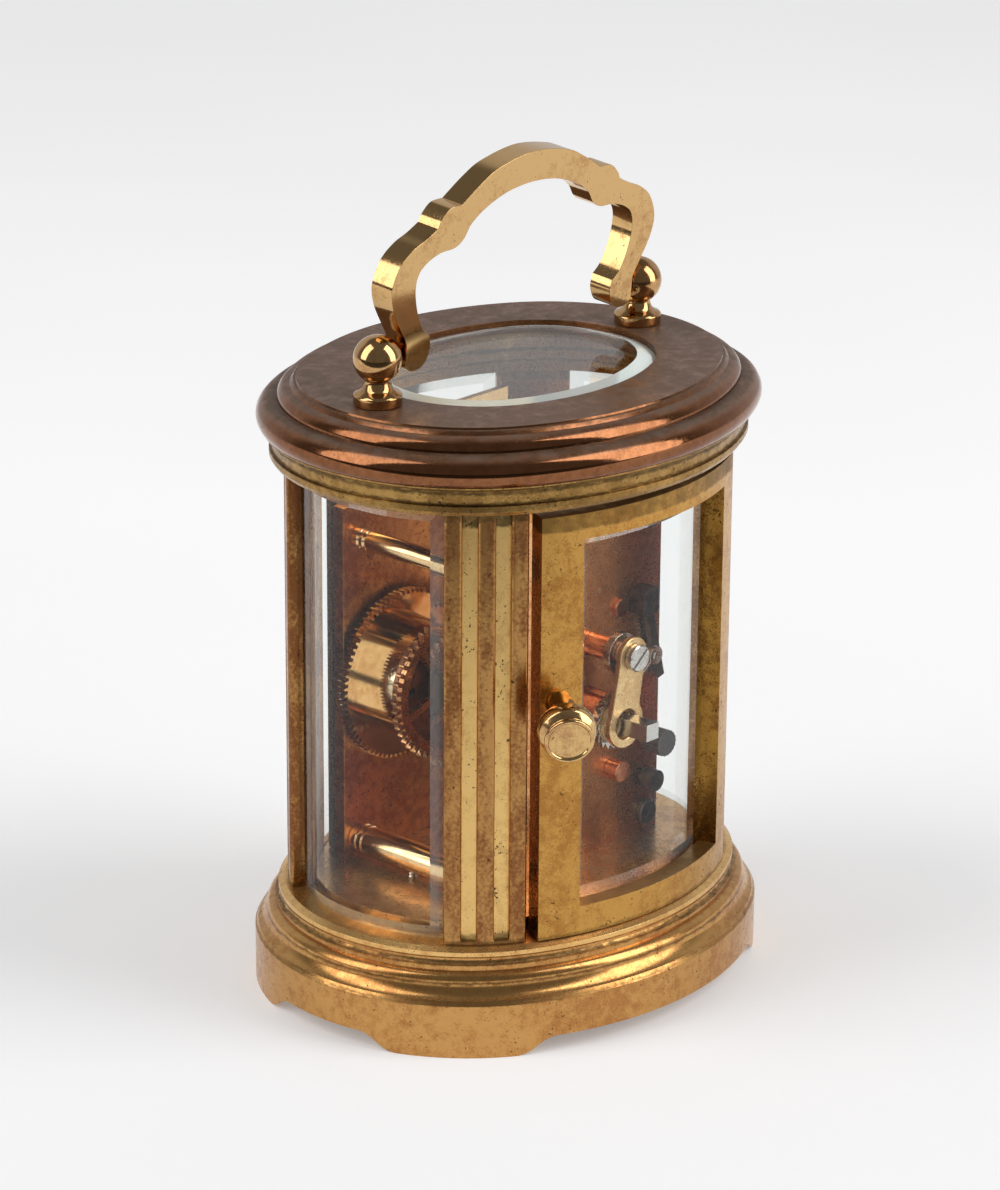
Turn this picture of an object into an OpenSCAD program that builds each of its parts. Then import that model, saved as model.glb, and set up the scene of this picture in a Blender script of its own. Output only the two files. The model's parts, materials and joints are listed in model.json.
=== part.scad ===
/* [Case] */
// Half length of the oval case, at the faces of the corner pillars
half_len = 28; // [26:0.5:31]
// Half width of the oval case, at the faces of the corner pillars
half_wid = 23; // [22.5:0.25:25]
// How much smaller the radius of the two ends is than the half width
end_less = 2; // [1:0.25:4]
// Wall thickness of the pillars and of the cornice
wall = 3.2; // [2.8:0.1:4]
// Height of the ledge that the pillars stand on
ledge_z = 12.2; // [11.5:0.1:15]
// Clear height of the pillars between the ledge and the cornice
pillar_h = 51.6; // [50.5:0.5:60]
// Height of the cornice
cornice_h = 9.2; // [9:0.1:12]
// Thickness of the top plate
top_t = 2.5; // [2:0.1:3]
// Gap left where one fixed piece drops into another
fit_gap = 0.05; // [0.02:0.01:0.08]

/* [Plinth] */
// How far the plinth skirt stands out from the pillars
skirt_out = 3.86; // [3.6:0.02:4.5]
// Height of the plain skirt
skirt_h = 6.4; // [5.5:0.1:6.6]
// Thickness of the skirt
skirt_t = 2.2; // [1.5:0.1:2.6]
// Thickness of the floor of the case, below the ledge
floor_t = 3.7; // [3:0.1:4.5]
// Height of the seat inside the case above the ledge
seat_h = 1.6; // [1:0.1:2]
// Height of the cut-outs that leave the four feet
foot_cut_h = 1.95; // [1.2:0.05:2.6]
// Distance of the front and back cut-outs from the ends of the case
foot_end_x = 6.8; // [6:0.1:10]
// Distance of the end cut-outs from the front and back of the case
foot_end_y = 13.05; // [12:0.05:15]
// Length of the curved step at each end of a cut-out
foot_step = 4.5; // [3:0.1:5]

/* [Pillars] */
// Angle on the end circle where a pillar starts, from the long axis
pillar_a0 = 34.9; // [33:0.1:36]
// Width of one reed of a pillar, in degrees
reed_a = 5.7; // [5:0.1:6]
// Width of one recess between the reeds, in degrees
recess_a = 4.6; // [4:0.1:5]
// Depth of the recesses
recess_d = 0.55; // [0.3:0.05:0.8]
// Rounding of the reeds' long edges
reed_round = 0.4; // [0.2:0.05:0.5]
// Height of the plain band at both ends of a recess
recess_end = 0.4; // [0.2:0.1:1.5]
// Radius of the spigot on top of a pillar
spigot_r = 1; // [0.7:0.05:1.2]
// Length of the spigot
spigot_h = 1.5; // [1:0.1:2.5]

/* [Glass] */
// Thickness of the curved glasses
glass_t = 1.6; // [1.2:0.1:1.8]
// How far the outer face of a side glass lies behind the pillar faces
glass_in = 1.3; // [1:0.05:1.5]
// Thickness left at the edge of a bevelled glass
glass_edge = 0.9; // [0.5:0.05:1.1]
// Width of the bevels
bevel_w = 2.2; // [1.5:0.1:2.6]
// How deep the glasses stand in their grooves
groove_d = 0.6; // [0.3:0.1:0.9]
// Width of the top plate round the ends of its glass
top_border_x = 9.65; // [9:0.05:12]
// Width of the top plate along the sides of its glass
top_border_y = 8.75; // [8:0.05:9.4]
// Thickness of the top glass
top_glass_t = 2; // [1.4:0.1:2.1]
// Width of the rebate that carries the top glass
top_rebate = 0.8; // [0.5:0.1:1.2]

/* [Door] */
// How far the door stands proud of the pillars
door_out = 0.5; // [0.2:0.05:0.8]
// Gap between the door and the pillars beside it
door_gap = 1.18; // [1:0.01:1.6]
// Thickness of the door frame
door_t = 3.15; // [2.8:0.05:3.3]
// Gap under the door
door_gap_low = 0.15; // [0.1:0.05:0.4]
// Gap over the door
door_gap_top = 1.05; // [0.5:0.05:1.3]
// Height of the bottom and top rails of the door
rail_low = 3.4; // [3:0.1:5]
// Height of the top rail
rail_top = 3; // [2.6:0.1:5]
// Width of the door's upright rail at the knob
knob_stile = 5.13; // [4.8:0.01:7]
// Width of the door's upright rail at the hinge
hinge_stile = 3.58; // [3.2:0.01:5]
// Depth of the door's reveal in front of its glass
reveal = 2.3; // [1.5:0.1:2.4]
// How far the door glass laps behind the frame
glass_lap = 0.8; // [0.5:0.1:1]
// Radius of the hinge pins
hinge_r = 0.5; // [0.4:0.05:0.6]
// Distance of the hinge axis from the edge of the door
hinge_edge = 1.09; // [1:0.01:1.4]
// Depth of the hinge axis behind the face of the door
hinge_in = 1.05; // [0.9:0.05:1.3]
// Running gap round pins and arbors
run_gap = 0.04; // [0.02:0.01:0.06]
// Length of a hinge pin outside the door
hinge_h = 1.6; // [1.2:0.1:2]
// Length of a hinge pin inside the door
hinge_in_h = 3; // [2:0.1:3.3]

/* [Door knob] */
// Height of the knob's stem above the floor
knob_z = 41; // [35:0.5:45]
// Distance of the knob's stem from the edge of the door
knob_edge = 2.14; // [1.9:0.02:2.8]
// Angle of the knob from the long axis, seen from above
knob_turn = 49.5; // [45:0.5:66]
// Angle that the knob droops
knob_droop = 13; // [0:1:15]
// Radius of the knob's head
knob_r = 3.25; // [2.5:0.05:3.6]
// Depth of the knob's head
knob_h = 3.75; // [3:0.05:4.5]
// Radius of the knob's stem
knob_stem_r = 1.55; // [1.2:0.05:1.8]
// Length of the knob's stem outside the door
knob_stem_h = 4.15; // [3.5:0.05:5.5]

/* [Handle] */
// Distance of the handle posts from the ends of the case
post_in = 6.05; // [5:0.05:6.2]
// Radius of the ball on a post
ball_r = 2.75; // [2.4:0.05:2.8]
// Height of the ball's centre over the top of the case
ball_z = 5.16; // [4.9:0.05:6]
// Radius of the post's flange
flange_r = 2.75; // [2.4:0.05:2.9]
// Thickness of the flange
flange_h = 1.4; // [1:0.1:1.6]
// Radius of the post's waist
waist_r = 1.45; // [1.2:0.05:1.7]
// Thickness of the handle
handle_t = 3.05; // [2.6:0.05:3.2]
// Gap between the handle's foot and the ball
foot_gap = 0.2; // [0.1:0.05:0.3]
// Angle that the handle leans to the back at rest
handle_lean = 5.1; // [0:0.1:10]
// Radius of the handle's pivot pins
handle_pin_r = 0.6; // [0.4:0.05:0.8]
// Length of a pivot pin in the ball
handle_pin_h = 2; // [1.2:0.1:3]

/* [Movement plates] */
// Half width of the movement plates
plate_x = 16.8; // [16.7:0.1:17.2]
// Height of the movement plates
plate_h = 43.4; // [42:0.1:44]
// Thickness of the movement plates
plate_t = 1.6; // [1.2:0.1:1.8]
// Outer face of the front plate, in front of the middle of the case
plate_front = 12.1; // [11.9:0.1:12.3]
// Outer face of the back plate, behind the middle of the case
plate_back = 8.6; // [8.2:0.1:9]
// Distance of the plate pillars from the middle
pillar_px = 14.5; // [13.5:0.1:14.8]
// Radius of the lower plate pillars
low_pillar_r = 1.8; // [1.5:0.05:2]
// Height of the lower plate pillars over the foot of the plates
low_pillar_z = 2.4; // [2.1:0.1:3]
// Radius of the upper plate pillars
up_pillar_r = 1.2; // [1:0.05:1.5]
// Height of the upper plate pillars over the foot of the plates
up_pillar_z = 39.5; // [38.5:0.1:40.5]
// Radius of the heads of the plate screws
plate_screw_r = 1.5; // [1.1:0.05:1.7]
// Height of the heads of the plate screws
plate_screw_h = 0.8; // [0.5:0.05:1]
// Depth of the centre arbor under the top of the plates
dial_drop = 14.33; // [14:0.01:14.8]

/* [Gears] */
// Direction from the centre arbor to the barrel, seen from the back
barrel_dir = -40.93; // [-41:0.01:-40]
// Direction from the centre arbor to the third arbor
third_dir = 150; // [148:0.5:152]
// Direction from the third arbor to the fourth arbor
fourth_dir = 62; // [60:0.5:64]
// Direction from the barrel to the winding arbor
wind_dir = 196.4; // [195:0.1:198]
// Direction from the centre arbor to the minute wheel and on to the setting arbor
motion_dir = 237.9; // [237:0.1:239]
// Module of the great wheel and centre pinion
great_m = 0.25; // [0.24:0.005:0.255]
// Teeth of the great wheel
great_n = 80; // [72:2:84]
// Leaves of the centre pinion
centre_leaf = 10; // [8:1:12]
// Module of the centre wheel and third pinion
centre_m = 0.185; // [0.175:0.005:0.19]
// Teeth of the centre wheel
centre_n = 64; // [60:2:66]
// Module of the third wheel and fourth pinion
third_m = 0.19; // [0.18:0.005:0.195]
// Teeth of the third wheel
third_n = 60; // [56:2:62]
// Leaves of the third, fourth and escape pinions
train_leaf = 8; // [7:1:10]
// Mean radius of the crown wheel's teeth
crown_r = 4; // [3.8:0.05:4.1]
// Teeth of the crown wheel
crown_n = 64; // [60:4:72]
// Teeth of the escape wheel
escape_n = 15; // [13:2:17]
// Radius of the escape wheel
escape_r = 2.4; // [2.2:0.05:2.5]
// Module of the two winding wheels
wind_m = 0.3446; // [0.33:0.0001:0.35]
// Teeth of the winding wheel on the barrel arbor
wind_n = 48; // [44:2:50]
// Teeth of the winding pinion
wind_leaf = 24; // [22:2:26]
// Teeth of the ratchet wheel
ratchet_n = 20; // [16:1:24]
// Tip radius of the ratchet wheel
ratchet_r = 3.5; // [3.2:0.05:3.7]
// Module of the cannon pinion, minute wheel and setting pinion
motion_m = 0.36; // [0.34:0.005:0.37]
// Leaves of the cannon pinion and of the setting pinion
cannon_leaf = 12; // [10:2:12]
// Teeth of the minute wheel
minute_n = 36; // [34:2:36]
// Leaves of the minute pinion
minute_leaf = 10; // [9:1:10]
// Teeth of the hour wheel
hour_n = 40; // [36:2:40]
// Thickness of the train wheels
wheel_t = 0.8; // [0.6:0.05:0.9]

/* [Barrel] */
// Radius of the barrel's drum
drum_r = 7; // [6.5:0.1:7.4]
// Length of the barrel's drum without its lid
drum_h = 4.4; // [4:0.1:4.6]
// Wall of the drum
drum_t = 0.7; // [0.5:0.05:0.9]
// Radius of the centre arbor
centre_arbor_r = 0.5; // [0.4:0.02:0.55]
// Radius of the barrel arbor
barrel_arbor_r = 1.2; // [1:0.05:1.4]
// Turns of the mainspring in the barrel
mainspring_turns = 5; // [4:1:6]
// Thickness of the mainspring
mainspring_t = 0.2; // [0.15:0.05:0.25]

/* [Dial and hands] */
// Radius of the dial
dial_r = 13; // [11:0.1:13.5]
// Thickness of the dial
dial_t = 0.6; // [0.4:0.05:0.8]
// Half width of the dial plate
dial_plate_x = 15.3; // [14.6:0.1:15.4]
// Thickness of the dial plate
dial_plate_t = 0.8; // [0.6:0.05:0.9]
// Space for the motion wheels between the front plate and the dial plate
motion_gap = 2.1; // [2:0.05:2.3]
// Length of the minute hand
minute_len = 10.6; // [8:0.1:11]
// Length of the hour hand
hour_len = 7; // [5:0.1:8]

/* [Platform] */
// Half width of the escapement platform
platform_x = 9; // [8.6:0.1:10]
// Thickness of the escapement platform
platform_t = 1.2; // [1:0.05:1.4]
// Direction from the escape wheel to the pallet lever and on to the balance
lever_dir = -50.75; // [-52:0.05:-50]
// Distance from the pallet lever to the balance
lever_len = 4.19; // [4:0.01:4.4]
// Radius of the balance
balance_r = 5.2; // [4.8:0.05:5.3]
// Height of the balance over the platform
balance_z = 3.1; // [2.9:0.05:3.6]
// Turns of the hairspring
hairspring_turns = 4; // [3:1:4]

/* [Hidden] */
$fn = 96;

// Oval as [half length, half width, end radius]: two end arcs and two flat side arcs
function end_c(v) = v[0] - v[2];
function side_r(v) = (v[1] * v[1] + end_c(v) * end_c(v) - v[2] * v[2]) / (2 * (v[1] - v[2]));
function side_c(v) = side_r(v) - v[1];
function on_arc(c, r, a) = [c[0] + r * cos(a), c[1] + r * sin(a)];
function at_dir(p, d, a) = on_arc(p, d, a);
function pitch(m, n1, n2) = m * (n1 + n2) / 2;

// Degrees turned by a length of one radius
deg = 180 / PI;
end_r = half_wid - end_less;
case_v = [half_len, half_wid, end_r];
top_end_less = 1.25;
top_v = [half_len - top_border_x, half_wid - top_border_y, half_wid - top_border_y - top_end_less];
ec = end_c(case_v);
sr = side_r(case_v);
sc = side_c(case_v);
cornice_z = ledge_z + pillar_h;
top_z = cornice_z + cornice_h;
seat_z = ledge_z + seat_h;
floor_z = ledge_z - floor_t;
skirt_in = skirt_out - skirt_t;
pillar_a1 = pillar_a0 + 3 * reed_a + 2 * recess_a;
pillar_mid = on_arc([ec, 0], end_r - wall / 2, (pillar_a0 + pillar_a1) / 2);
// Angle that a glass reaches into the groove of a pillar
lap_a = 1.6;
side_a = pillar_a0 + lap_a;
front_face = on_arc([ec, sc], end_r, pillar_a1);
front_lap_a = 0.9;
front_a = atan2(front_face[0], front_face[1]) + front_lap_a;
door_r = sr + door_out;
door_a = atan2(front_face[0], front_face[1]) - door_gap / door_r * deg;
open_a_knob = door_a - knob_stile / door_r * deg;
open_a_hinge = door_a - hinge_stile / door_r * deg;
lap_door = glass_lap / door_r * deg;
door_edge = door_r * sin(door_a);
hinge_x = door_edge - hinge_edge;
hinge_y = sqrt(pow(door_r - hinge_in, 2) - hinge_x * hinge_x) - sc;
knob_foot_a = asin((door_edge - knob_edge) / door_r);
knob_back = 1.2;
post_x = half_len - post_in;
hinge_top = cornice_z + hinge_h - door_gap_top;
door_z0 = ledge_z + door_gap_low;
door_z1 = cornice_z - door_gap_top;
glass_z0 = door_z0 + rail_low;
glass_z1 = door_z1 - rail_top;
case_screw_r = 0.75;
screw_head_r = 1.6;
screw_head_h = 0.8;

// Half outline of the handle from the top of the bow: across and up from the pivots
handle_half = 19;
bow = [[0, 20.2], [5.5, 19.37], [8.4, 18.1], [11.5, 16.15]];
scroll = [[11.5, 16.15], [13.4, 16.05], [14.7, 15], [15.2, 14.1]];
shoulder = [[15.2, 14.1], [17, 13.2], [19, 12.4], [20.9, 10.9], [22, 8.4], [21.6, 6], [20.1, 3.3],
    [19.4, 2.2], [19, 1.3]];
foot = [[19, -1.2], [18.4, -1.75], [17.2, -1.95], [15.9, -1.4], [15.15, 0.2], [15.4, 1.7]];
inside = [[15.4, 1.7], [16.6, 2.8], [17.5, 4.6], [18.15, 7.3], [17.85, 9.25], [16.6, 10.4],
    [14.5, 11.15], [12.2, 11.3], [10.8, 12.1], [9.7, 13.6], [7.5, 15], [4, 16.2], [0, 16.6]];

plate_z = seat_z;
plate_top = plate_z + plate_h;
front_in = -plate_front + plate_t;
back_in = plate_back - plate_t;
plates_mid = (front_in + back_in) / 2;
low_z = plate_z + low_pillar_z;
up_z = plate_z + up_pillar_z;
plate_shank_r = 0.6;
plate_shank_l = 2;
move_screw_r = 0.55;
// How far the movement screws reach past the axis of the lower plate pillars
move_screw_in = 0.7;
plates_y = [(front_in - plate_front) / 2, (back_in + plate_back) / 2];
platform_screw_x = 7.3;
platform_shank_r = 0.45;
platform_shank_l = 2.5;
// Radius of the post that the minute wheel turns on
minute_post_r = 0.45;

// Places of the arbors as [x, z], each worked out from the pitch circles
dial_z = plate_top - dial_drop;
centre_p = [0, dial_z];
barrel_p = at_dir(centre_p, pitch(great_m, great_n, centre_leaf), barrel_dir);
third_p = at_dir(centre_p, pitch(centre_m, centre_n, train_leaf), third_dir);
fourth_p = at_dir(third_p, pitch(third_m, third_n, train_leaf), fourth_dir);
wind_p = at_dir(barrel_p, pitch(wind_m, wind_n, wind_leaf), wind_dir);
minute_p = at_dir(centre_p, pitch(motion_m, cannon_leaf, minute_n), motion_dir);
set_p = at_dir(minute_p, pitch(motion_m, cannon_leaf, minute_n), motion_dir);
hour_m = 2 * pitch(motion_m, cannon_leaf, minute_n) / (minute_leaf + hour_n);
pivot_r = 0.4;
arbor_r = 0.7;
end_shake = 0.1;

barrel_pivot_r = barrel_arbor_r - 0.3;
great_t = 1.5 * wheel_t;
great_y = front_in + 0.9;
drum_y = great_y + great_t;
lid_y = drum_y + drum_h;
lid_t = 0.6;
wind_y = lid_y + lid_t + 0.8;
spring_in = barrel_arbor_r + 0.4;
spring_out = drum_r - drum_t - mainspring_t / 2 - 0.02;
mainspring_gap = (spring_out - spring_in) / mainspring_turns - mainspring_t;
echo(least_gap_of_mainspring = mainspring_gap);
centre_y = 1.2;
third_y = 4;
// The escape arbor stands upright, one pinion radius behind the crown wheel's pitch plane
crown_m = 2 * crown_r / crown_n;
crown_y = -0.7;
crown_wide = 0.6;
escape_p = [fourth_p[0], crown_y + crown_m * train_leaf / 2];

platform_z = plate_top + platform_t;
// Distance from the escape wheel to the lever, in radii of the wheel
lever_far = 1.335;
lever_p = at_dir(escape_p, lever_far * escape_r, lever_dir);
balance_p = at_dir(lever_p, lever_len, lever_dir);
escape_z = platform_z + 0.6;
escape_t = 0.4;
cock_z = escape_z + 1;
cock_t = 0.6;
rim_t = 0.8;
spring_z = platform_z + balance_z + rim_t + 0.3;
top_cock_z = spring_z + 1;
top_cock_t = 1;
cock_foot = [7.4, -0.4];
small_foot = [-6.3, -4.2];
pivot_small = 0.2;
staff_r = 0.35;
foot_pin_r = 0.45;
escape_low_z = plate_top - 3.1;
pallet_a = 32;
// Radius at which the hairspring is pinned to its stud
stud_ring = 3.2;
hairspring_t = 0.1;
collet_r = 0.7;
hairspring_in = collet_r + 0.2;
hairspring_gap = (stud_ring - hairspring_in) / hairspring_turns - hairspring_t;
echo(least_gap_of_hairspring = hairspring_gap);
impulse_ring = 0.89;
// The escapement is drawn open: the pallets stand off the wheel and the fork off the pin
pallet_gap = 0.45;
fork_gap = 0.55;
stud_a = atan2(cock_foot[1] - balance_p[1], cock_foot[0] - balance_p[0]);

boss_r = 3;
boss_h = 3.7;
ratchet_y = plate_back + boss_h + 0.1;
ratchet_t = 0.9;
washer_t = 0.4;
wind_r = 1.45;
square_w = 2;
square_end = 18.6;
post_p = wind_p + [-1.1, 8];
nut_p = set_p + [0.88, -4.83];
bush_p = [-9.3, dial_z + 0.3];
stud_p = [-14.2, plate_z + 6.8];
spring_p = post_p + [-6.1, -2];
block_p = [-12.3, dial_z + 0.7];
post_r = 1.45;
// Tip of the click, just outside the teeth of the ratchet wheel
pawl_a = 133;
pawl = at_dir(wind_p, ratchet_r + 0.12, pawl_a);
bridge_y = plate_back + 5.6;
bridge_t = 0.7;
bridge_shank_r = 0.65;
stud_shank_r = 0.5;

dial_y = -plate_front - motion_gap;
minute_y = -plate_front - 0.4;
minute_t = 0.4;
hour_y = -plate_front - 1.3;
hour_t = 0.4;
cannon_r = 0.86;
dial_foot_r = 1;
dial_foot_x = plate_x - 3.4;
cannon_end = 4.9;
hour_pipe_r = 1.3;
hand_t = 0.3;
hand_y = dial_y - dial_plate_t - dial_t - 0.4;
dial_feet_z = [plate_z + 6.7, dial_z + 5.1];

// Layers across the clock, drawn as x and z and laid between two values of y
module layer(y0, y1) {
    translate([0, y1, 0]) rotate([90, 0, 0]) linear_extrude(y1 - y0) children();
}
module rod(p, r, y0, y1) {
    translate([p[0], y1, p[1]]) rotate([90, 0, 0]) cylinder(r = r, h = y1 - y0);
}
module upright(p, r, z0, z1) {
    translate([p[0], p[1], z0]) cylinder(r = r, h = z1 - z0);
}
module sector(c, r0, r1, a0, a1, z0, z1) {
    translate([c[0], c[1], z0]) rotate_extrude(angle = a1 - a0, start = a0)
        translate([r0, 0]) square([r1 - r0, z1 - z0]);
}
module spoke(p, q, w) {
    translate(p) rotate(atan2(q[1] - p[1], q[0] - p[0])) translate([0, -w / 2]) square([norm(q - p), w]);
}

// Flat shape of an oval, o outside its outline
module oval_face(v, o) {
    a = atan2(side_c(v), end_c(v));
    x = end_c(v) + (v[2] + o) * cos(a);
    y = (v[2] + o) * sin(a);
    intersection() {
        translate([0, -side_c(v)]) circle(r = side_r(v) + o);
        translate([0, side_c(v)]) circle(r = side_r(v) + o);
        union() {
            for (s = [-1, 1]) translate([s * end_c(v), 0]) circle(r = v[2] + o);
            polygon([[-x, -y], [0, -2 * v[1]], [x, -y], [x, y], [0, 2 * v[1]], [-x, y]]);
        }
    }
}

// Moulding run round an oval: the children are its section, x outwards from the outline
module oval_band(v, z0, z1) {
    a = atan2(side_c(v), end_c(v));
    far = 3 * v[0];
    x = end_c(v) + far * cos(a);
    y = far * sin(a);
    for (s = [-1, 1]) {
        intersection() {
            translate([s * end_c(v), 0]) rotate_extrude() translate([v[2], 0]) children();
            translate([0, 0, z0]) linear_extrude(z1 - z0)
                polygon([[s * end_c(v), 0], [s * x, -y], [s * 2 * far, 0], [s * x, y]]);
        }
        intersection() {
            translate([0, -s * side_c(v)]) rotate_extrude() translate([side_r(v), 0]) children();
            translate([0, 0, z0]) linear_extrude(z1 - z0)
                polygon([[-end_c(v), 0], [end_c(v), 0], [x, s * y], [-x, s * y]]);
        }
    }
}

// Points of a gear wheel with its teeth from root to tip; w holds the tooth's width at the
// root, at the pitch circle, near the tip and at the tip, as parts of the pitch
function gear_points(m, n, add, ded, w) = [
    for (i = [0 : n - 1], k = [-4, -3, -2, -1, 1, 2, 3, 4])
    let (j = 4 - abs(k), r = m * n / 2 + [-ded, 0, 0.6 * add, add][j] * m)
    on_arc([0, 0], r, (i + sign(k) * w[j] / 2) * 360 / n)];
wheel_tooth = [0.5, 0.42, 0.3, 0.16];
leaf_tooth = [0.26, 0.36, 0.3, 0.16];
module wheel_face(m, n, turn) {
    rotate(turn) polygon(gear_points(m, n, 1, 1.3, wheel_tooth));
}
module pinion_face(m, n, turn) {
    rotate(turn + 180 / n) polygon(gear_points(m, n, 0.8, 1.5, leaf_tooth));
}
// Crossed-out wheel: rim, hub and straight arms inside the teeth
module crossed_wheel(m, n, turn, rim, hub, arms) {
    r = m * n / 2 - 1.3 * m - rim;
    difference() {
        wheel_face(m, n, turn);
        circle(r = r);
    }
    circle(r = hub);
    for (i = [0 : arms - 1]) spoke([0, 0], on_arc([0, 0], r + rim / 2, turn + i * 360 / arms), 0.9);
}

// Case

module glass_groove(z0, z1) {
    for (s = [0, 180])
        rotate(s) sector([ec, 0], end_r - glass_in - glass_t - fit_gap, end_r - glass_in + fit_gap,
            -side_a, side_a, z0, z1);
    sector([0, sc], sr - glass_in - glass_t - fit_gap, sr - glass_in + fit_gap,
        270 - front_a, 270 + front_a, z0, z1);
}
module foot_cut(half, h) {
    n = 4;
    r = (h * h + foot_step * foot_step) / (4 * h);
    a = 2 * atan2(h, foot_step);
    half_s = [
        for (i = [0 : n]) [half - r * sin(i * a / n), r * (1 - cos(i * a / n))],
        for (i = [1 : n]) [half - foot_step + r * sin(a - i * a / n), h - r * (1 - cos(a - i * a / n))]];
    mirrored = [for (i = [len(half_s) - 1 : -1 : 0]) [-half_s[i][0], half_s[i][1]]];
    polygon(concat([[half, -1]], half_s, mirrored, [[-half, -1]]));
}
module base_section() {
    torus_r = 1;
    cove_r = 1.82;
    groove_r = 0.6;
    fillet_o = skirt_out - 2.36;
    bead_o = skirt_out - 2.76;
    cove_z = ledge_z - 3.6;
    difference() {
        union() {
            polygon([[skirt_in, 0], [skirt_out, 0], [skirt_out, skirt_h],
                [skirt_out - 0.36, skirt_h + 0.55], [skirt_out - 0.36, cove_z],
                [fillet_o + torus_r, cove_z], [fillet_o + torus_r, cove_z + 0.1], [fillet_o, cove_z + 0.1],
                [fillet_o, ledge_z - 1.25], [bead_o, ledge_z - 1.25], [bead_o, ledge_z - 0.4],
                [0.35, ledge_z], [-1, ledge_z], [-1, floor_z], [skirt_in, floor_z]]);
            translate([fillet_o, cove_z + 0.1]) circle(r = torus_r);
        }
        translate([fillet_o + 2.77, cove_z]) circle(r = cove_r);
        translate([fillet_o + 0.1, ledge_z - 1.25]) circle(r = groove_r);
    }
}
module base_plinth() {
    color("burlywood") difference() {
        union() {
            oval_band(case_v, -1, ledge_z + 1) base_section();
            translate([0, 0, floor_z]) linear_extrude(floor_t) oval_face(case_v, -0.5);
            translate([0, 0, ledge_z - 0.5]) linear_extrude(seat_h + 0.5) oval_face(case_v, -wall - 0.1);
        }
        layer(-2 * half_len, 2 * half_len) foot_cut(half_len - foot_end_x, foot_cut_h);
        rotate(90) layer(-2 * half_len, 2 * half_len) foot_cut(half_wid - foot_end_y, foot_cut_h);
        glass_groove(ledge_z - groove_d, ledge_z + seat_h);
        for (x = [-1, 1], y = [-1, 1])
            upright([x * pillar_mid[0], y * pillar_mid[1]], case_screw_r + fit_gap,
                floor_z - 1, ledge_z + 1);
        for (x = [-1, 1])
            upright([x * pillar_px, plates_mid], move_screw_r + fit_gap, floor_z - 1, seat_z + 1);
        upright([-hinge_x, hinge_y], hinge_r + run_gap, ledge_z - hinge_h, ledge_z + 1);
    }
}

// Rounded edges of a reed that starts or ends at the angle s
function reed_corner(s, side) = [
    on_arc([ec, 0], end_r - recess_d, s), on_arc([ec, 0], end_r - reed_round, s),
    on_arc([ec, 0], end_r - 0.3 * reed_round, s + side * 0.3 * deg * reed_round / end_r),
    on_arc([ec, 0], end_r, s + side * deg * reed_round / end_r)];
function pillar_inner() = [
    for (i = [8 : -1 : 0])
    on_arc([ec, 0], end_r - wall, pillar_a0 + i * (pillar_a1 - pillar_a0) / 8)];
module quadrant(x, y) {
    mirror([x < 0 ? 1 : 0, 0]) mirror([0, y < 0 ? 1 : 0]) children();
}
module pillar_face() {
    outer = [
        for (i = [0 : 2])
        let (s = pillar_a0 + i * (reed_a + recess_a), a = reed_corner(s, 1),
            b = reed_corner(s + reed_a, -1))
        each concat(a, [on_arc([ec, 0], end_r, s + reed_a / 2)], [b[3], b[2], b[1], b[0]])];
    polygon(concat(outer, pillar_inner()));
}
module pillar_band() {
    outer = [
        for (i = [0 : 12])
        on_arc([ec, 0], end_r, pillar_a0 + 1 + i * (pillar_a1 - pillar_a0 - 2) / 12)];
    polygon(concat([on_arc([ec, 0], end_r - reed_round, pillar_a0)], outer,
        [on_arc([ec, 0], end_r - reed_round, pillar_a1)], pillar_inner()));
}
module pillar(x, y) {
    difference() {
        union() {
            translate([0, 0, ledge_z]) linear_extrude(pillar_h) quadrant(x, y) pillar_face();
            for (z = [ledge_z, cornice_z - recess_end])
                translate([0, 0, z]) linear_extrude(recess_end) quadrant(x, y) pillar_band();
            upright([x * pillar_mid[0], y * pillar_mid[1]], spigot_r, cornice_z - 1, cornice_z + spigot_h);
        }
        glass_groove(ledge_z - 1, cornice_z + 1);
        upright([x * pillar_mid[0], y * pillar_mid[1]], case_screw_r + fit_gap, ledge_z - 1, ledge_z + 4);
    }
}
module pillar_front_left() { color("tan") pillar(1, -1); }
module pillar_front_right() { color("tan") pillar(-1, -1); }
module pillar_rear_left() { color("tan") pillar(1, 1); }
module pillar_rear_right() { color("tan") pillar(-1, 1); }

module cornice_section() {
    ovolo_r = 1.5;
    ovolo_z = top_z - 2.2;
    torus_r = 1.9;
    torus_z = top_z - 4.2;
    cove_r = 0.875;
    cove_o = 2.385;
    difference() {
        union() {
            polygon([[-wall, cornice_z], [1.3, cornice_z], [1.65, cornice_z + 0.5],
                [1.65, cornice_z + 1.15], [1.35, cornice_z + 1.25], [1.45, cornice_z + 2.3],
                [1.5, cornice_z + 2.5], [2.4, cornice_z + 2.5], [2.4, top_z - 5.7],
                [1, top_z - 5.7], [1, top_z - 2.3], [0.75, top_z - 2.3], [0.75, ovolo_z],
                [-0.75, ovolo_z + ovolo_r], [-1.15, top_z - 0.25], [-1.4, top_z - 0.25],
                [-1.45, top_z], [-wall, top_z]]);
            intersection() {
                translate([1.2, torus_z]) circle(r = torus_r);
                translate([0.2, torus_z - ovolo_r]) square([2 * torus_r + 0.2, 5]);
            }
            translate([-0.75, ovolo_z]) circle(r = ovolo_r);
        }
        translate([cove_o, cornice_z + 2.44]) circle(r = cove_r);
    }
}
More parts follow.
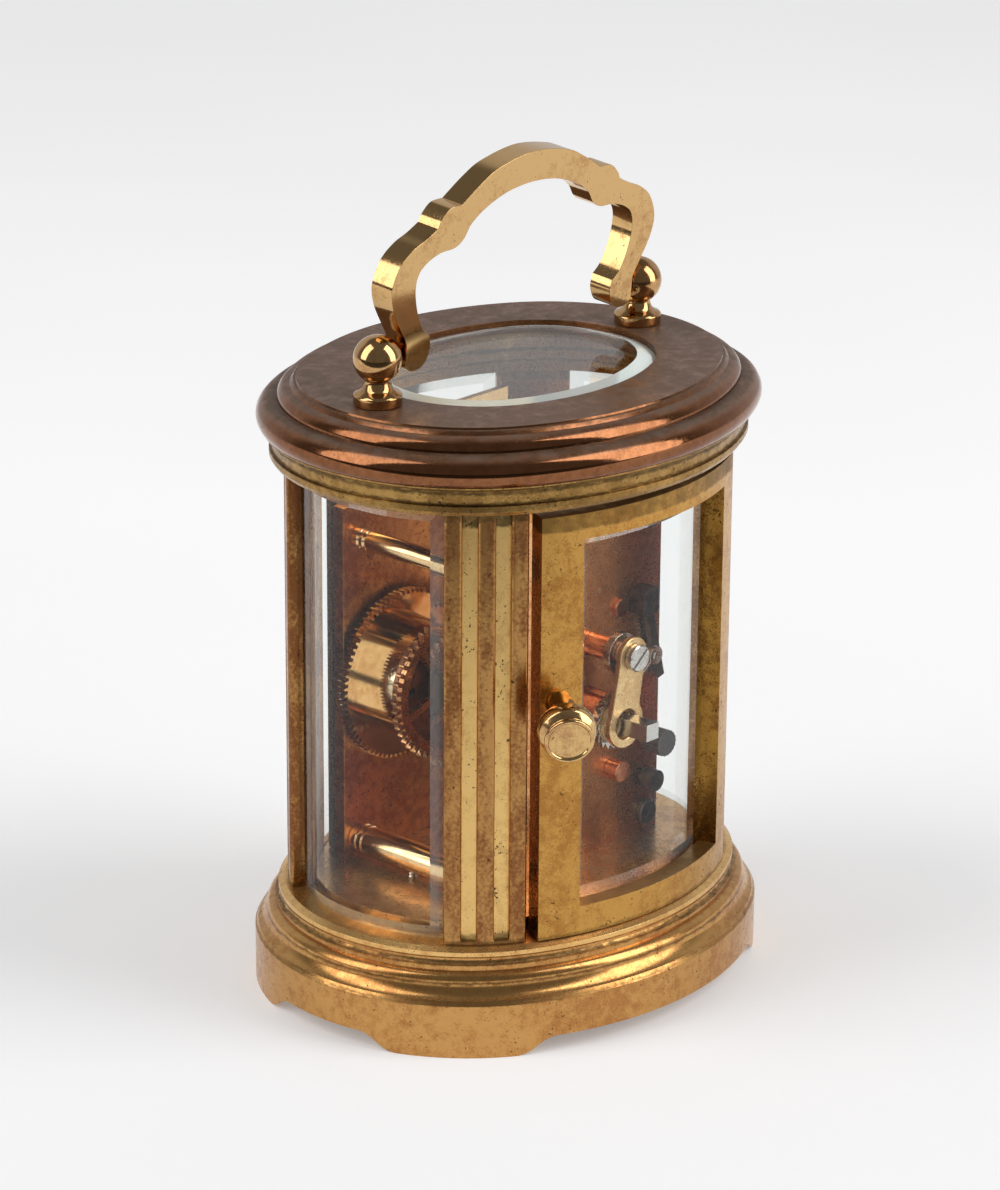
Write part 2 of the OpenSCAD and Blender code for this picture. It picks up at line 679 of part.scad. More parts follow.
module cornice() {
    color("rosybrown") difference() {
        union() {
            oval_band(case_v, cornice_z - 1, top_z + 1) cornice_section();
            translate([0, 0, top_z - top_t]) linear_extrude(top_t) oval_face(case_v, -2);
        }
        translate([0, 0, top_z - top_glass_t]) linear_extrude(top_t) oval_face(top_v, 0);
        translate([0, 0, top_z - 2 * top_t]) linear_extrude(3 * top_t) oval_face(top_v, -top_rebate);
        glass_groove(cornice_z - 1, cornice_z + groove_d);
        for (x = [-1, 1], y = [-1, 1])
            upright([x * pillar_mid[0], y * pillar_mid[1]], spigot_r + fit_gap, cornice_z - 1,
                cornice_z + spigot_h + 0.2);
        for (x = [-1, 1])
            upright([x * post_x, 0], waist_r - 0.3 + fit_gap, top_z - 2 * top_t, top_z + 1);
        upright([-hinge_x, hinge_y], hinge_r + run_gap, cornice_z - 1, hinge_top + 0.2);
    }
}
module top_glass() {
    edge = top_glass_t - (glass_t - glass_edge);
    // How far the flat middle laps into the bevelled rim
    lap = 0.5;
    color("lightcyan", 0.4) translate([0, 0, top_z - top_glass_t]) {
        linear_extrude(top_glass_t) oval_face(top_v, -bevel_w - lap);
        oval_band(top_v, -1, top_glass_t + 1)
            polygon([[-bevel_w - 2 * lap, 0], [-fit_gap, 0], [-fit_gap, edge], [-bevel_w, top_glass_t],
                [-bevel_w - 2 * lap, top_glass_t]]);
    }
}
// Curved glass bent round the point c, facing the direction turn, bevelled on all four edges
module curved_glass(c, r, half_a, turn, z0, z1) {
    bevel = glass_t - glass_edge;
    inner_a = half_a - bevel_w / r * deg;
    edge = [for (s = [-1, 1]) on_arc([0, 0], r - bevel, s * half_a)];
    face = [for (s = [-1, 1]) on_arc([0, 0], r, s * inner_a)];
    far = [for (s = [-1, 1]) on_arc([0, 0], 2 * r, s * inner_a)];
    translate([c[0], c[1], 0]) rotate(turn) intersection() {
        translate([0, 0, z0]) linear_extrude(z1 - z0)
            polygon([[0, 0], edge[0], face[0], far[0], far[1], face[1], edge[1]]);
        rotate_extrude() polygon([[r - glass_t, z0], [r - bevel, z0], [r, z0 + bevel_w],
            [r, z1 - bevel_w], [r - bevel, z1], [r - glass_t, z1]]);
    }
}
module side_glass(turn) {
    color("lightcyan", 0.4) rotate(turn) curved_glass([ec, 0], end_r - glass_in, side_a, 0,
        ledge_z - groove_d + fit_gap, cornice_z + groove_d - fit_gap);
}
module side_glass_left() { side_glass(0); }
module side_glass_right() { side_glass(180); }
module front_glass() {
    color("lightcyan", 0.4) curved_glass([0, sc], sr - glass_in, front_a, 270,
        ledge_z - groove_d + fit_gap, cornice_z + groove_d - fit_gap);
}
module slotted_head(r, h) {
    slot_w = 0.3;
    slot_d = 0.3;
    difference() {
        cylinder(r = r, h = h);
        translate([-r - 1, -slot_w / 2, h - slot_d]) cube([2 * r + 2, slot_w, slot_d + 1]);
    }
}
module case_screws() {
    color("slategray") for (x = [-1, 1], y = [-1, 1])
        translate([x * pillar_mid[0], y * pillar_mid[1], floor_z]) {
            mirror([0, 0, 1]) slotted_head(screw_head_r, screw_head_h);
            cylinder(r = case_screw_r, h = floor_t + 3.8);
        }
}

// Handle

module handle_post(x) {
    color("gold") translate([x * post_x, 0, top_z]) difference() {
        union() {
            rotate_extrude() polygon([[0, -top_t], [waist_r - 0.3, -top_t], [waist_r - 0.3, 0],
                [flange_r - 0.15, 0], [flange_r, 0.2], [flange_r, flange_h - 0.25],
                [flange_r - 0.2, flange_h], [waist_r + 0.5, flange_h + 0.25],
                [waist_r + 0.2, flange_h + 0.6], [waist_r, flange_h + 1.1],
                [waist_r, ball_z - 1.5], [0, ball_z - 1.5]]);
            translate([0, 0, ball_z]) sphere(r = ball_r);
        }
        translate([-x * (ball_r + 1), 0, ball_z]) rotate([0, x * 90, 0])
            cylinder(r = handle_pin_r + run_gap, h = 1 + handle_pin_h + 0.15);
    }
}
module handle_posts() {
    handle_post(1);
    handle_post(-1);
}

// Smooth curve through a list of points, n steps from each point to the next
function through(p, n) = let (e = len(p) - 1) concat([
    for (i = [0 : e - 1], j = [0 : n - 1])
    let (t = j / n, a = p[max(i - 1, 0)], b = p[i], c = p[i + 1], d = p[min(i + 2, e)])
    b + t / 2 * ((c - a) + t * ((2 * a - 5 * b + 4 * c - d) + t * (3 * b - a - 3 * c + d)))],
    [p[e]]);
module handle() {
    foot_u = post_x - ball_r - foot_gap;
    k = foot_u / handle_half;
    half = concat(through(bow, 3), through(scroll, 2), through(shoulder, 2), through(foot, 2),
        through(inside, 2));
    right = [for (p = half) [k * p[0], p[1]]];
    left = [for (i = [len(right) - 1 : -1 : 0]) [-right[i][0], right[i][1]]];
    color("gold") translate([0, 0, top_z + ball_z]) rotate([-handle_lean, 0, 0]) {
        layer(-handle_t / 2, handle_t / 2) polygon(concat(right, left));
        for (s = [-1, 1])
            rotate([0, s * 90, 0]) translate([0, 0, foot_u - 0.5])
                cylinder(r = handle_pin_r, h = 0.5 + foot_gap + handle_pin_h);
    }
}

// Door, turned about the upright hinge pins at its left edge seen from the front of the clock

module door_frame() {
    back_r = door_r - reveal;
    color("burlywood") difference() {
        sector([0, -sc], door_r - door_t, door_r, 90 - door_a, 90 + door_a, door_z0, door_z1);
        sector([0, -sc], door_r - door_t - 1, door_r + 1, 90 - open_a_knob, 90 + open_a_hinge,
            glass_z0, glass_z1);
        sector([0, -sc], door_r - door_t - 1, back_r + fit_gap, 90 - open_a_knob - lap_door,
            90 + open_a_hinge + lap_door, glass_z0 - glass_lap, glass_z1 + glass_lap);
        upright([-hinge_x, hinge_y], hinge_r, door_z0 - 1, door_z0 + hinge_in_h);
        upright([-hinge_x, hinge_y], hinge_r, door_z1 - hinge_in_h, door_z1 + 1);
        knob_place() translate([0, 0, -3 * door_t]) cylinder(r = knob_stem_r - 0.3, h = 6 * door_t);
    }
}
module door_glass() {
    a = (open_a_knob + open_a_hinge) / 2 + lap_door;
    color("lightcyan", 0.4) curved_glass([0, -sc], door_r - reveal, a,
        90 + (open_a_hinge - open_a_knob) / 2, glass_z0 - glass_lap + fit_gap,
        glass_z1 + glass_lap - fit_gap);
}
module knob_place() {
    translate([0, -sc, 0]) translate(concat(on_arc([0, 0], door_r, 90 - knob_foot_a), [knob_z]))
        rotate([0, 0, knob_turn]) rotate([0, 90 + knob_droop, 0]) children();
}
module door_knob() {
    r = knob_stem_r;
    h = knob_stem_h;
    top = h + knob_h;
    color("gold") knob_place() rotate_extrude() polygon([[0, -knob_back], [r - 0.3, -knob_back],
        [r - 0.3, 0.6], [r, 0.7], [r, h - 0.9], [r + 0.75, h - 0.75], [r + 0.75, h - 0.2],
        [r + 0.2, h], [knob_r - 0.5, h + 0.35], [knob_r, h + 0.9], [knob_r, h + 1.9],
        [knob_r - 0.25, h + 2.4], [knob_r - 0.75, top - 0.85], [knob_r - 0.45, top - 0.6],
        [knob_r - 0.45, top - 0.2], [knob_r - 0.6, top], [knob_r - 0.8, top],
        [knob_r - 0.95, top - 0.3], [0, top - 0.3]]);
}
module hinge_pins() {
    color("gold") {
        upright([-hinge_x, hinge_y], hinge_r, ledge_z - hinge_h + 0.2, door_z0 + hinge_in_h);
        upright([-hinge_x, hinge_y], hinge_r, door_z1 - hinge_in_h, hinge_top);
    }
}

// Movement plates and pillars

module pivot_holes(y0, y1) {
    rod(centre_p, centre_arbor_r + run_gap, y0, y1);
    for (p = [third_p, fourth_p]) rod(p, pivot_r + run_gap, y0, y1);
    rod(barrel_p, barrel_pivot_r + run_gap, y0, y1);
    rod(set_p, arbor_r + run_gap, y0, y1);
}
module front_plate() {
    y0 = -plate_front;
    color("gold") difference() {
        union() {
            layer(y0, front_in) translate([-plate_x, plate_z]) square([2 * plate_x, plate_h]);
            rod(minute_p, minute_post_r, y0 - 1.9, front_in);
        }
        pivot_holes(y0 - 1, front_in + 1);
        rod(wind_p, pivot_r + run_gap, y0 - 1, front_in + 1);
        for (x = [-1, 1], z = [low_z, up_z])
            rod([x * pillar_px, z], plate_shank_r + fit_gap, y0 - 1, front_in + 1);
        for (x = [-1, 1]) platform_hole(x, plates_y[0]);
    }
}
module platform_hole(x, y) {
    upright([x * platform_screw_x, y], platform_shank_r + fit_gap, plate_top - 3, plate_top + 3);
}
module back_plate() {
    color("peru") difference() {
        layer(back_in, plate_back) translate([-plate_x, plate_z]) square([2 * plate_x, plate_h]);
        pivot_holes(back_in - 1, plate_back + 1);
        rod(wind_p, wind_r + run_gap, back_in - 1, plate_back + 1);
        for (x = [-1, 1], z = [low_z, up_z])
            rod([x * pillar_px, z], plate_shank_r + fit_gap, back_in - 1, plate_back + 1);
        for (x = [-1, 1]) platform_hole(x, plates_y[1]);
        for (p = [nut_p, bush_p, stud_p, spring_p, block_p])
            rod(p, stud_shank_r, plate_back - 1, plate_back + 1);
    }
}

// Turned pillar between the plates with two fine grooves near its front end
module plate_pillar(x, z, r) {
    len = back_in - front_in;
    chamfer = 0.15;
    neck_r = r - 0.2;
    color("gold") difference() {
        translate([x, back_in, z]) rotate([90, 0, 0]) rotate_extrude() polygon(concat(
            [[0, 0], [r - chamfer, 0], [r, chamfer]],
            [for (g = [len - 2.4, len - 1.5])
                each [[r, g], [neck_r, g + chamfer], [neck_r, g + 0.35], [r, g + 0.5]]],
            [[r, len - chamfer], [r - chamfer, len], [0, len]]));
        for (y = [front_in, back_in])
            rod([x, z], plate_shank_r + fit_gap, y - plate_shank_l - 0.2, y + plate_shank_l + 0.2);
        if (z == low_z) upright([x, plates_mid], move_screw_r + fit_gap, z - 2 * r, z + move_screw_in + 0.2);
    }
}
module lower_plate_pillars() {
    for (x = [-1, 1]) plate_pillar(x * pillar_px, low_z, low_pillar_r);
}
module upper_plate_pillars() {
    for (x = [-1, 1]) plate_pillar(x * pillar_px, up_z, up_pillar_r);
}
module plate_screws() {
    color("slategray") for (x = [-1, 1], z = [low_z, up_z]) {
        translate([x * pillar_px, plate_back, z]) rotate([-90, 0, 0])
            slotted_head(plate_screw_r, plate_screw_h);
        rod([x * pillar_px, z], plate_shank_r, back_in - plate_shank_l, plate_back + 0.1);
        translate([x * pillar_px, -plate_front, z]) rotate([90, 0, 0])
            slotted_head(plate_screw_r, plate_screw_h);
        rod([x * pillar_px, z], plate_shank_r, -plate_front - 0.1, front_in + plate_shank_l);
    }
}
module movement_screws() {
    color("slategray") for (x = [-1, 1]) translate([x * pillar_px, plates_mid, floor_z]) {
        mirror([0, 0, 1]) slotted_head(screw_head_r, screw_head_h);
        cylinder(r = move_screw_r, h = low_z + move_screw_in - floor_z);
    }
}

// Going barrel, winding work and train

module at(p) {
    translate(p) children();
}
module barrel() {
    color("khaki") difference() {
        union() {
            layer(great_y, drum_y) at(barrel_p) wheel_face(great_m, great_n, barrel_dir + 180);
            rod(barrel_p, drum_r, great_y, lid_y);
        }
        rod(barrel_p, drum_r - drum_t, drum_y - 0.3, lid_y + 1);
        rod(barrel_p, barrel_arbor_r + run_gap, great_y - 1, drum_y);
    }
}
module barrel_lid() {
    color("rosybrown") difference() {
        union() {
            rod(barrel_p, drum_r, lid_y, lid_y + lid_t);
            rod(barrel_p, drum_r - drum_t - fit_gap, lid_y - 0.4, lid_y);
        }
        rod(barrel_p, barrel_arbor_r + run_gap, lid_y - 1, lid_y + lid_t + 1);
        rod([barrel_p[0] + 0.6 * drum_r, barrel_p[1]], 0.6, lid_y - 1, lid_y + lid_t + 1);
    }
}
module spiral(r0, r1, turns, t, a_end) {
    steps = turns * 18;
    inner = [
        for (i = [0 : steps])
        on_arc([0, 0], r0 + (r1 - r0) * i / steps - t / 2, a_end - (steps - i) * 20)];
    outer = [
        for (i = [steps : -1 : 0])
        on_arc([0, 0], r0 + (r1 - r0) * i / steps + t / 2, a_end - (steps - i) * 20)];
    polygon(concat(inner, outer));
}
module mainspring() {
    color("steelblue") layer(drum_y - 0.1, lid_y - 0.6) at(barrel_p)
        spiral(spring_in, spring_out, mainspring_turns, mainspring_t, 0);
}
module barrel_arbor() {
    color("silver") {
        rod(barrel_p, barrel_pivot_r, -plate_front, plate_back);
        rod(barrel_p, barrel_arbor_r, front_in + end_shake, back_in - end_shake);
    }
}
module winding_gear() {
    color("khaki") difference() {
        layer(wind_y, wind_y + wheel_t) at(barrel_p) crossed_wheel(wind_m, wind_n, wind_dir, 1.2, 2.4, 5);
        rod(barrel_p, barrel_arbor_r, wind_y - 1, wind_y + wheel_t + 1);
    }
}
module winding_arbor() {
    color("silver") {
        rod(wind_p, pivot_r, -plate_front, 0);
        rod(wind_p, arbor_r + 0.4, front_in + end_shake, back_in - 1);
        rod(wind_p, wind_r, back_in - 1, ratchet_y + ratchet_t + washer_t);
        layer(wind_y - 0.3, wind_y + wheel_t + 0.3) at(wind_p) pinion_face(wind_m, wind_leaf, wind_dir - 180);
        layer(ratchet_y, square_end) at(wind_p) square(square_w, center = true);
    }
}
function ratchet_points(r0, r1, n) = [
    for (i = [0 : n - 1], k = [0 : 1])
    on_arc([0, 0], k == 0 ? r0 : r1, (i + 0.12 * k) * 360 / n)];
module ratchet_wheel() {
    color("silver") difference() {
        layer(ratchet_y, ratchet_y + ratchet_t) at(wind_p)
            polygon(ratchet_points(ratchet_r - 0.55, ratchet_r, ratchet_n));
        rod(wind_p, wind_r, ratchet_y - 1, ratchet_y + ratchet_t + 1);
    }
}
module ratchet_washer() {
    y = ratchet_y + ratchet_t;
    color("gold") difference() {
        rod(wind_p, 2.6, y, y + washer_t);
        rod(wind_p, wind_r, y - 1, y + washer_t + 1);
    }
}
module click() {
    color("silver") difference() {
        layer(ratchet_y, ratchet_y + ratchet_t) union() {
            at(post_p) circle(r = 2.4);
            polygon([post_p + [-2.3, 0.6], pawl + [-1.5, 1.6], pawl + [-0.9, -0.3], pawl,
                pawl + [0.5, 1.3], post_p + [1.2, -2]]);
        }
        rod(post_p, post_r + run_gap, ratchet_y - 1, ratchet_y + ratchet_t + 1);
    }
}
module click_spring() {
    a = pawl + [-1.7, 1.5];
    color("silver") {
        rod(spring_p, stud_shank_r, plate_back - 1, ratchet_y + ratchet_t);
        layer(ratchet_y + 0.1, ratchet_y + ratchet_t - 0.1) {
            at(spring_p) circle(r = 1.1);
            spoke(spring_p, a + [-0.6, 0.2], 0.3);
        }
    }
}
module click_bridge() {
    color("khaki") difference() {
        layer(bridge_y, bridge_y + bridge_t) union() {
            at(post_p) circle(r = 2.3);
            at(wind_p) circle(r = 2.9);
            polygon([post_p + [-2.1, 0], wind_p + [-2.2, 1.6], wind_p + [2.6, 1.1], post_p + [2.2, 0]]);
        }
        rod(wind_p, wind_r + 0.35, bridge_y - 1, bridge_y + bridge_t + 1);
        rod(post_p, bridge_shank_r + 0.05, bridge_y - 1, bridge_y + bridge_t + 1);
    }
}
module bridge_post() {
    color("sandybrown") difference() {
        rod(post_p, post_r, plate_back, bridge_y);
        rod(post_p, bridge_shank_r + 0.05, bridge_y - 3, bridge_y + 1);
    }
}
module bridge_screw() {
    color("slategray") {
        translate([post_p[0], bridge_y + bridge_t, post_p[1]]) rotate([-90, 0, 0]) slotted_head(1.6, 1);
        rod(post_p, bridge_shank_r, bridge_y - 2.8, bridge_y + bridge_t + 0.1);
    }
}
module copper_bushes() {
    color("sandybrown") {
        difference() {
            rod(wind_p, boss_r, plate_back, plate_back + boss_h);
            rod(wind_p, wind_r + run_gap, plate_back - 1, plate_back + boss_h + 1);
        }
        rod(bush_p, 1.1, plate_back, plate_back + 0.5);
        rod(bush_p, stud_shank_r, plate_back - 1, plate_back);
        rod(nut_p, 1.25, plate_back, plate_back + 1.8);
        rod(nut_p, stud_shank_r, plate_back - 1, plate_back);
    }
}
module stop_block() {
    y = plate_back;
    color("dimgray") {
        layer(y, y + 2.4) at(block_p) translate([-1.3, -1.5]) square([2.6, 3]);
        rod(block_p, stud_shank_r, y - 1, y);
        layer(y + 0.4, y + 1.2) spoke(block_p + [-1, -0.6], block_p + [-3.6, -10.4], 1.1);
    }
}
module back_studs() {
    color("dimgray") {
        rod(stud_p, 1.3, plate_back + 0.6, plate_back + 2.2);
        rod(stud_p, 0.8, plate_back, plate_back + 0.6);
        rod(stud_p, stud_shank_r, plate_back - 1, plate_back);
    }
}
// Arbor between the plates with its pivots and a pinion
module arbor(p, m, n, turn, y, len) {
    rod(p, pivot_r, -plate_front, plate_back);
    rod(p, arbor_r - 0.15, front_in + end_shake, back_in - end_shake);
    layer(y - len / 2, y + len / 2) at(p) pinion_face(m, n, turn);
}
module centre_arbor() {
    color("silver") rod(centre_p, centre_arbor_r, -plate_front - cannon_end, plate_back);
}
module centre_wheel() {
    color("khaki") difference() {
        union() {
            layer(great_y - 0.2, drum_y + 0.2) at(centre_p)
                pinion_face(great_m, centre_leaf, barrel_dir);
            rod(centre_p, centre_arbor_r + 0.3, drum_y, centre_y);
            layer(centre_y, centre_y + wheel_t) at(centre_p)
                crossed_wheel(centre_m, centre_n, third_dir, 0.8, 1.5, 5);
        }
        rod(centre_p, centre_arbor_r, -plate_front, plate_back);
    }
}
module third_wheel() {
    color("khaki") {
        arbor(third_p, centre_m, train_leaf, third_dir + 180, centre_y + wheel_t / 2, wheel_t + 0.6);
        layer(third_y, third_y + wheel_t) at(third_p)
            crossed_wheel(third_m, third_n, fourth_dir, 0.7, 1.3, 5);
    }
}
module crown_wheel() {
    p = 360 / crown_n;
    deep = 1.25 * crown_m;
    high = 0.8 * crown_m;
    // Half widths of a tooth at its root, at the pitch plane and at its tip
    root = 0.24 * PI * crown_m;
    waist = 0.17 * PI * crown_m;
    tip = 0.07 * PI * crown_m;
    r0 = crown_r - crown_wide / 2;
    color("khaki") {
        arbor(fourth_p, third_m, train_leaf, fourth_dir + 180, third_y + wheel_t / 2, wheel_t + 0.6);
        layer(crown_y - deep - 0.4, crown_y - deep) at(fourth_p) {
            difference() {
                circle(r = crown_r + crown_wide / 2);
                circle(r = r0 - 0.5);
            }
            circle(r = 1.2);
            for (i = [0 : 3]) spoke([0, 0], on_arc([0, 0], r0 - 0.2, 45 + i * 90), 0.8);
        }
        translate([fourth_p[0], crown_y, fourth_p[1]]) rotate([-90, 0, 0])
            for (i = [0 : crown_n - 1]) rotate(90 + i * p) translate([r0, 0, 0]) rotate([90, 0, 90])
                linear_extrude(crown_wide) polygon([[-root, -deep - 0.05], [root, -deep - 0.05],
                    [waist, 0], [tip, high], [-tip, high], [-waist, 0]]);
    }
}

// Platform escapement, drawn from above

module plan(z0, z1) {
    translate([0, 0, z0]) linear_extrude(z1 - z0) children();
}
module platform() {
    color("khaki") difference() {
        plan(plate_top, platform_z) translate([-platform_x, -plate_front])
            square([2 * platform_x, plate_front + plate_back]);
        upright(escape_p, 1.1, plate_top - 1, platform_z + 1);
        for (p = [lever_p, balance_p]) upright(p, pivot_small + run_gap, plate_top - 1, platform_z + 1);
        for (x = [-1, 1], y = plates_y) platform_hole(x, y);
        for (p = [cock_foot, small_foot]) upright(p, foot_pin_r + fit_gap, plate_top - 1, platform_z + 1);
    }
}
module escape_potence() {
    z = escape_low_z;
    color("khaki") difference() {
        union() {
            plan(z, z + 0.6) {
                at(escape_p) circle(r = 0.45);
                at(escape_p + [-0.45, 0]) square([0.9, 2]);
            }
            plan(z, plate_top) at(escape_p + [-1, 1.3]) square([2, 0.9]);
            plan(plate_top - 0.6, plate_top) at(escape_p + [-1.6, 1.3]) square([3.2, 1.8]);
        }
        upright(escape_p, pivot_small + run_gap, z - 1, z + 1);
    }
}
module escape_cock() {
    color("khaki") difference() {
        union() {
            plan(cock_z, cock_z + cock_t) {
                at(escape_p) circle(r = 1);
                at(lever_p) circle(r = 0.9);
                at(small_foot) circle(r = 1.4);
                spoke(small_foot, escape_p, 1.4);
                spoke(small_foot, lever_p, 1.4);
            }
            upright(small_foot, 1.4, platform_z, cock_z);
            upright(small_foot, foot_pin_r, plate_top, platform_z);
        }
        for (p = [escape_p, lever_p]) upright(p, pivot_small + run_gap, cock_z - 1, cock_z + 1);
    }
}
module balance_cock() {
    stud = at_dir(balance_p, stud_ring, stud_a);
    color("khaki") difference() {
        union() {
            plan(top_cock_z, top_cock_z + top_cock_t) {
                at(balance_p) circle(r = 1.4);
                at(cock_foot) circle(r = 1.5);
                spoke(cock_foot, balance_p, 2);
            }
            upright(cock_foot, 1.5, platform_z, top_cock_z);
            upright(cock_foot, foot_pin_r, plate_top, platform_z);
            upright(stud, staff_r, spring_z, top_cock_z);
        }
        upright(balance_p, pivot_small + run_gap, top_cock_z - 1, top_cock_z + 2);
    }
}
module platform_screws() {
    color("slategray") for (x = [-1, 1], y = plates_y) translate([x * platform_screw_x, y, platform_z]) {
        slotted_head(2 * platform_shank_r, 0.6);
        translate([0, 0, -platform_shank_l]) cylinder(r = platform_shank_r, h = platform_shank_l + 0.1);
    }
}
module hairspring() {
    color("steelblue") plan(spring_z + 0.1, spring_z + 0.4) at(balance_p)
        spiral(hairspring_in, stud_ring, hairspring_turns, hairspring_t, stud_a);
}
module escape_wheel() {
    points = [
        for (i = [0 : escape_n - 1], k = [0 : 2])
        on_arc([0, 0], [escape_r - 0.6, escape_r, escape_r][k], (i + [0, 0.3, 0.36][k]) * 360 / escape_n)];
    color("khaki") {
        plan(escape_z, escape_z + escape_t) at(escape_p) {
            difference() {
                polygon(points);
                circle(r = escape_r - 1);
            }
            circle(r = 0.7);
            for (i = [0 : 3]) spoke([0, 0], on_arc([0, 0], escape_r - 0.8, i * 90), 0.35);
        }
        upright(escape_p, pivot_small, escape_low_z, cock_z + cock_t);
        upright(escape_p, staff_r, escape_low_z + 0.7, cock_z - end_shake);
        plan(plate_top - 2.2, plate_top - 0.3) at(escape_p) pinion_face(crown_m, train_leaf, -90);
    }
}
// Lever with two pallets clear of the escape wheel and a fork short of the impulse pin
module pallet_lever() {
    line = atan2(balance_p[1] - lever_p[1], balance_p[0] - lever_p[0]);
    fork = lever_len - impulse_ring - fork_gap;
    color("silver") {
        plan(escape_z, escape_z + escape_t) {
            at(lever_p) circle(r = 0.6);
            for (s = [-1, 1]) {
                pallet = at_dir(escape_p, escape_r + pallet_gap, line + s * pallet_a);
                spoke(lever_p, pallet, 0.5);
                at(pallet) rotate(line + s * pallet_a) square([0.35, 0.6], center = true);
            }
            difference() {
                spoke(lever_p, at_dir(lever_p, fork, line), 0.7);
                spoke(at_dir(lever_p, fork - 0.5, line), at_dir(lever_p, fork + 1, line), 0.35);
            }
        }
        upright(lever_p, pivot_small, plate_top, cock_z + cock_t);
        upright(lever_p, staff_r, platform_z + end_shake, cock_z - end_shake);
    }
}
module balance() {
    z = platform_z + balance_z;
    line = atan2(lever_p[1] - balance_p[1], lever_p[0] - balance_p[0]);
    color("gold") {
        plan(z, z + rim_t) at(balance_p) {
            difference() {
                circle(r = balance_r);
                circle(r = balance_r - 0.7);
            }
            circle(r = 0.9);
            spoke(on_arc([0, 0], balance_r - 0.3, 20), on_arc([0, 0], balance_r - 0.3, 200), 0.8);
        }
        upright(balance_p, pivot_small, plate_top, top_cock_z + top_cock_t);
        upright(balance_p, 0.45, platform_z + end_shake, top_cock_z - end_shake);
        upright(balance_p, collet_r, spring_z, spring_z + 0.5);
        upright(balance_p, 1.1, escape_z + 0.8, escape_z + 1.2);
        upright(at_dir(balance_p, impulse_ring, line), 0.14, escape_z, escape_z + 0.9);
    }
}

// Motion work, dial and hands

module dial_plate() {
    y = dial_y - dial_plate_t;
    z0 = seat_z + 0.1;
    z1 = cornice_z - 1.3;
    color("khaki") {
        difference() {
            layer(y, dial_y) translate([-dial_plate_x, z0]) square([2 * dial_plate_x, z1 - z0]);
            rod(centre_p, hour_pipe_r + 0.25, y - 1, dial_y + 1);
        }
        for (x = [-1, 1], z = dial_feet_z)
            rod([x * dial_foot_x, z], dial_foot_r, dial_y, -plate_front);
    }
}
module dial() {
    y = dial_y - dial_plate_t;
    color("white") difference() {
        rod(centre_p, dial_r, y - dial_t, y);
        rod(centre_p, hour_pipe_r + 0.25, y - dial_t - 1, y + 1);
    }
}
module cannon_pinion() {
    color("khaki") difference() {
        union() {
            layer(minute_y - minute_t - 0.15, minute_y + 0.15) at(centre_p)
                pinion_face(motion_m, cannon_leaf, motion_dir);
            rod(centre_p, cannon_r, hand_y - 2 * hand_t - 0.5, minute_y);
        }
        rod(centre_p, centre_arbor_r + run_gap, -30, 0);
    }
}
module minute_wheel() {
    color("khaki") difference() {
        union() {
            layer(minute_y - minute_t, minute_y) at(minute_p)
                crossed_wheel(motion_m, minute_n, motion_dir, 0.9, 2.3, 4);
            layer(hour_y - hour_t - 0.1, minute_y) at(minute_p) pinion_face(hour_m, minute_leaf, motion_dir);
        }
        rod(minute_p, minute_post_r + run_gap, -30, 0);
    }
}
module hour_wheel() {
    color("khaki") difference() {
        union() {
            layer(hour_y - hour_t, hour_y) at(centre_p)
                crossed_wheel(hour_m, hour_n, motion_dir, 0.9, 1.9, 5);
            rod(centre_p, hour_pipe_r, hand_y - hand_t, hour_y);
        }
        rod(centre_p, cannon_r + run_gap, -30, 0);
    }
}
module hand(len, a, r, y) {
    color("midnightblue") difference() {
        layer(y - hand_t, y) at(centre_p) rotate(90 - a) {
            circle(r = r + 0.7);
            polygon([[0, -0.45], [len * 0.62, -0.3], [len * 0.7, -0.8], [len * 0.82, -0.35],
                [len, 0], [len * 0.82, 0.35], [len * 0.7, 0.8], [len * 0.62, 0.3], [0, 0.45]]);
        }
        rod(centre_p, r, y - 2, y + 1);
    }
}
module minute_hand() { hand(minute_len, 0, cannon_r, hand_y - hand_t - 0.35); }
module hour_hand() { hand(hour_len, 300, hour_pipe_r, hand_y); }
module set_arbor() {
    knurl_r = 1.6;
    knurl_y = plate_back + 4.9;
    knurl_l = 2.5;
    color("dimgray") {
        rod(set_p, arbor_r, -plate_front - 1, knurl_y);
        layer(minute_y - minute_t - 0.15, minute_y + 0.15) at(set_p)
            pinion_face(motion_m, cannon_leaf, motion_dir + 180);
        layer(knurl_y, knurl_y + knurl_l) at(set_p) polygon([
            for (i = [0 : 35])
            on_arc([0, 0], knurl_r - 0.12 * (i % 2), i * 10)]);
    }
}

base_plinth();
pillar_front_left();
pillar_front_right();
pillar_rear_left();
pillar_rear_right();
cornice();
top_glass();
side_glass_left();
side_glass_right();
front_glass();
case_screws();
handle_posts();
front_plate();
back_plate();
lower_plate_pillars();
upper_plate_pillars();
plate_screws();
movement_screws();
dial_plate();
dial();
platform();
escape_potence();
escape_cock();
balance_cock();
platform_screws();
hairspring();
click_bridge();
bridge_post();
bridge_screw();
copper_bushes();
click_spring();
stop_block();
back_studs();
door_frame();
door_glass();
door_knob();
hinge_pins();
handle();
barrel();
barrel_lid();
mainspring();
barrel_arbor();
winding_gear();
winding_arbor();
ratchet_wheel();
ratchet_washer();
click();
centre_arbor();
centre_wheel();
third_wheel();
crown_wheel();
escape_wheel();
pallet_lever();
balance();
cannon_pinion();
minute_hand();
minute_wheel();
hour_wheel();
hour_hand();
set_arbor();
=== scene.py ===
import json
import math

import bmesh
import bpy
from mathutils import Matrix, Vector


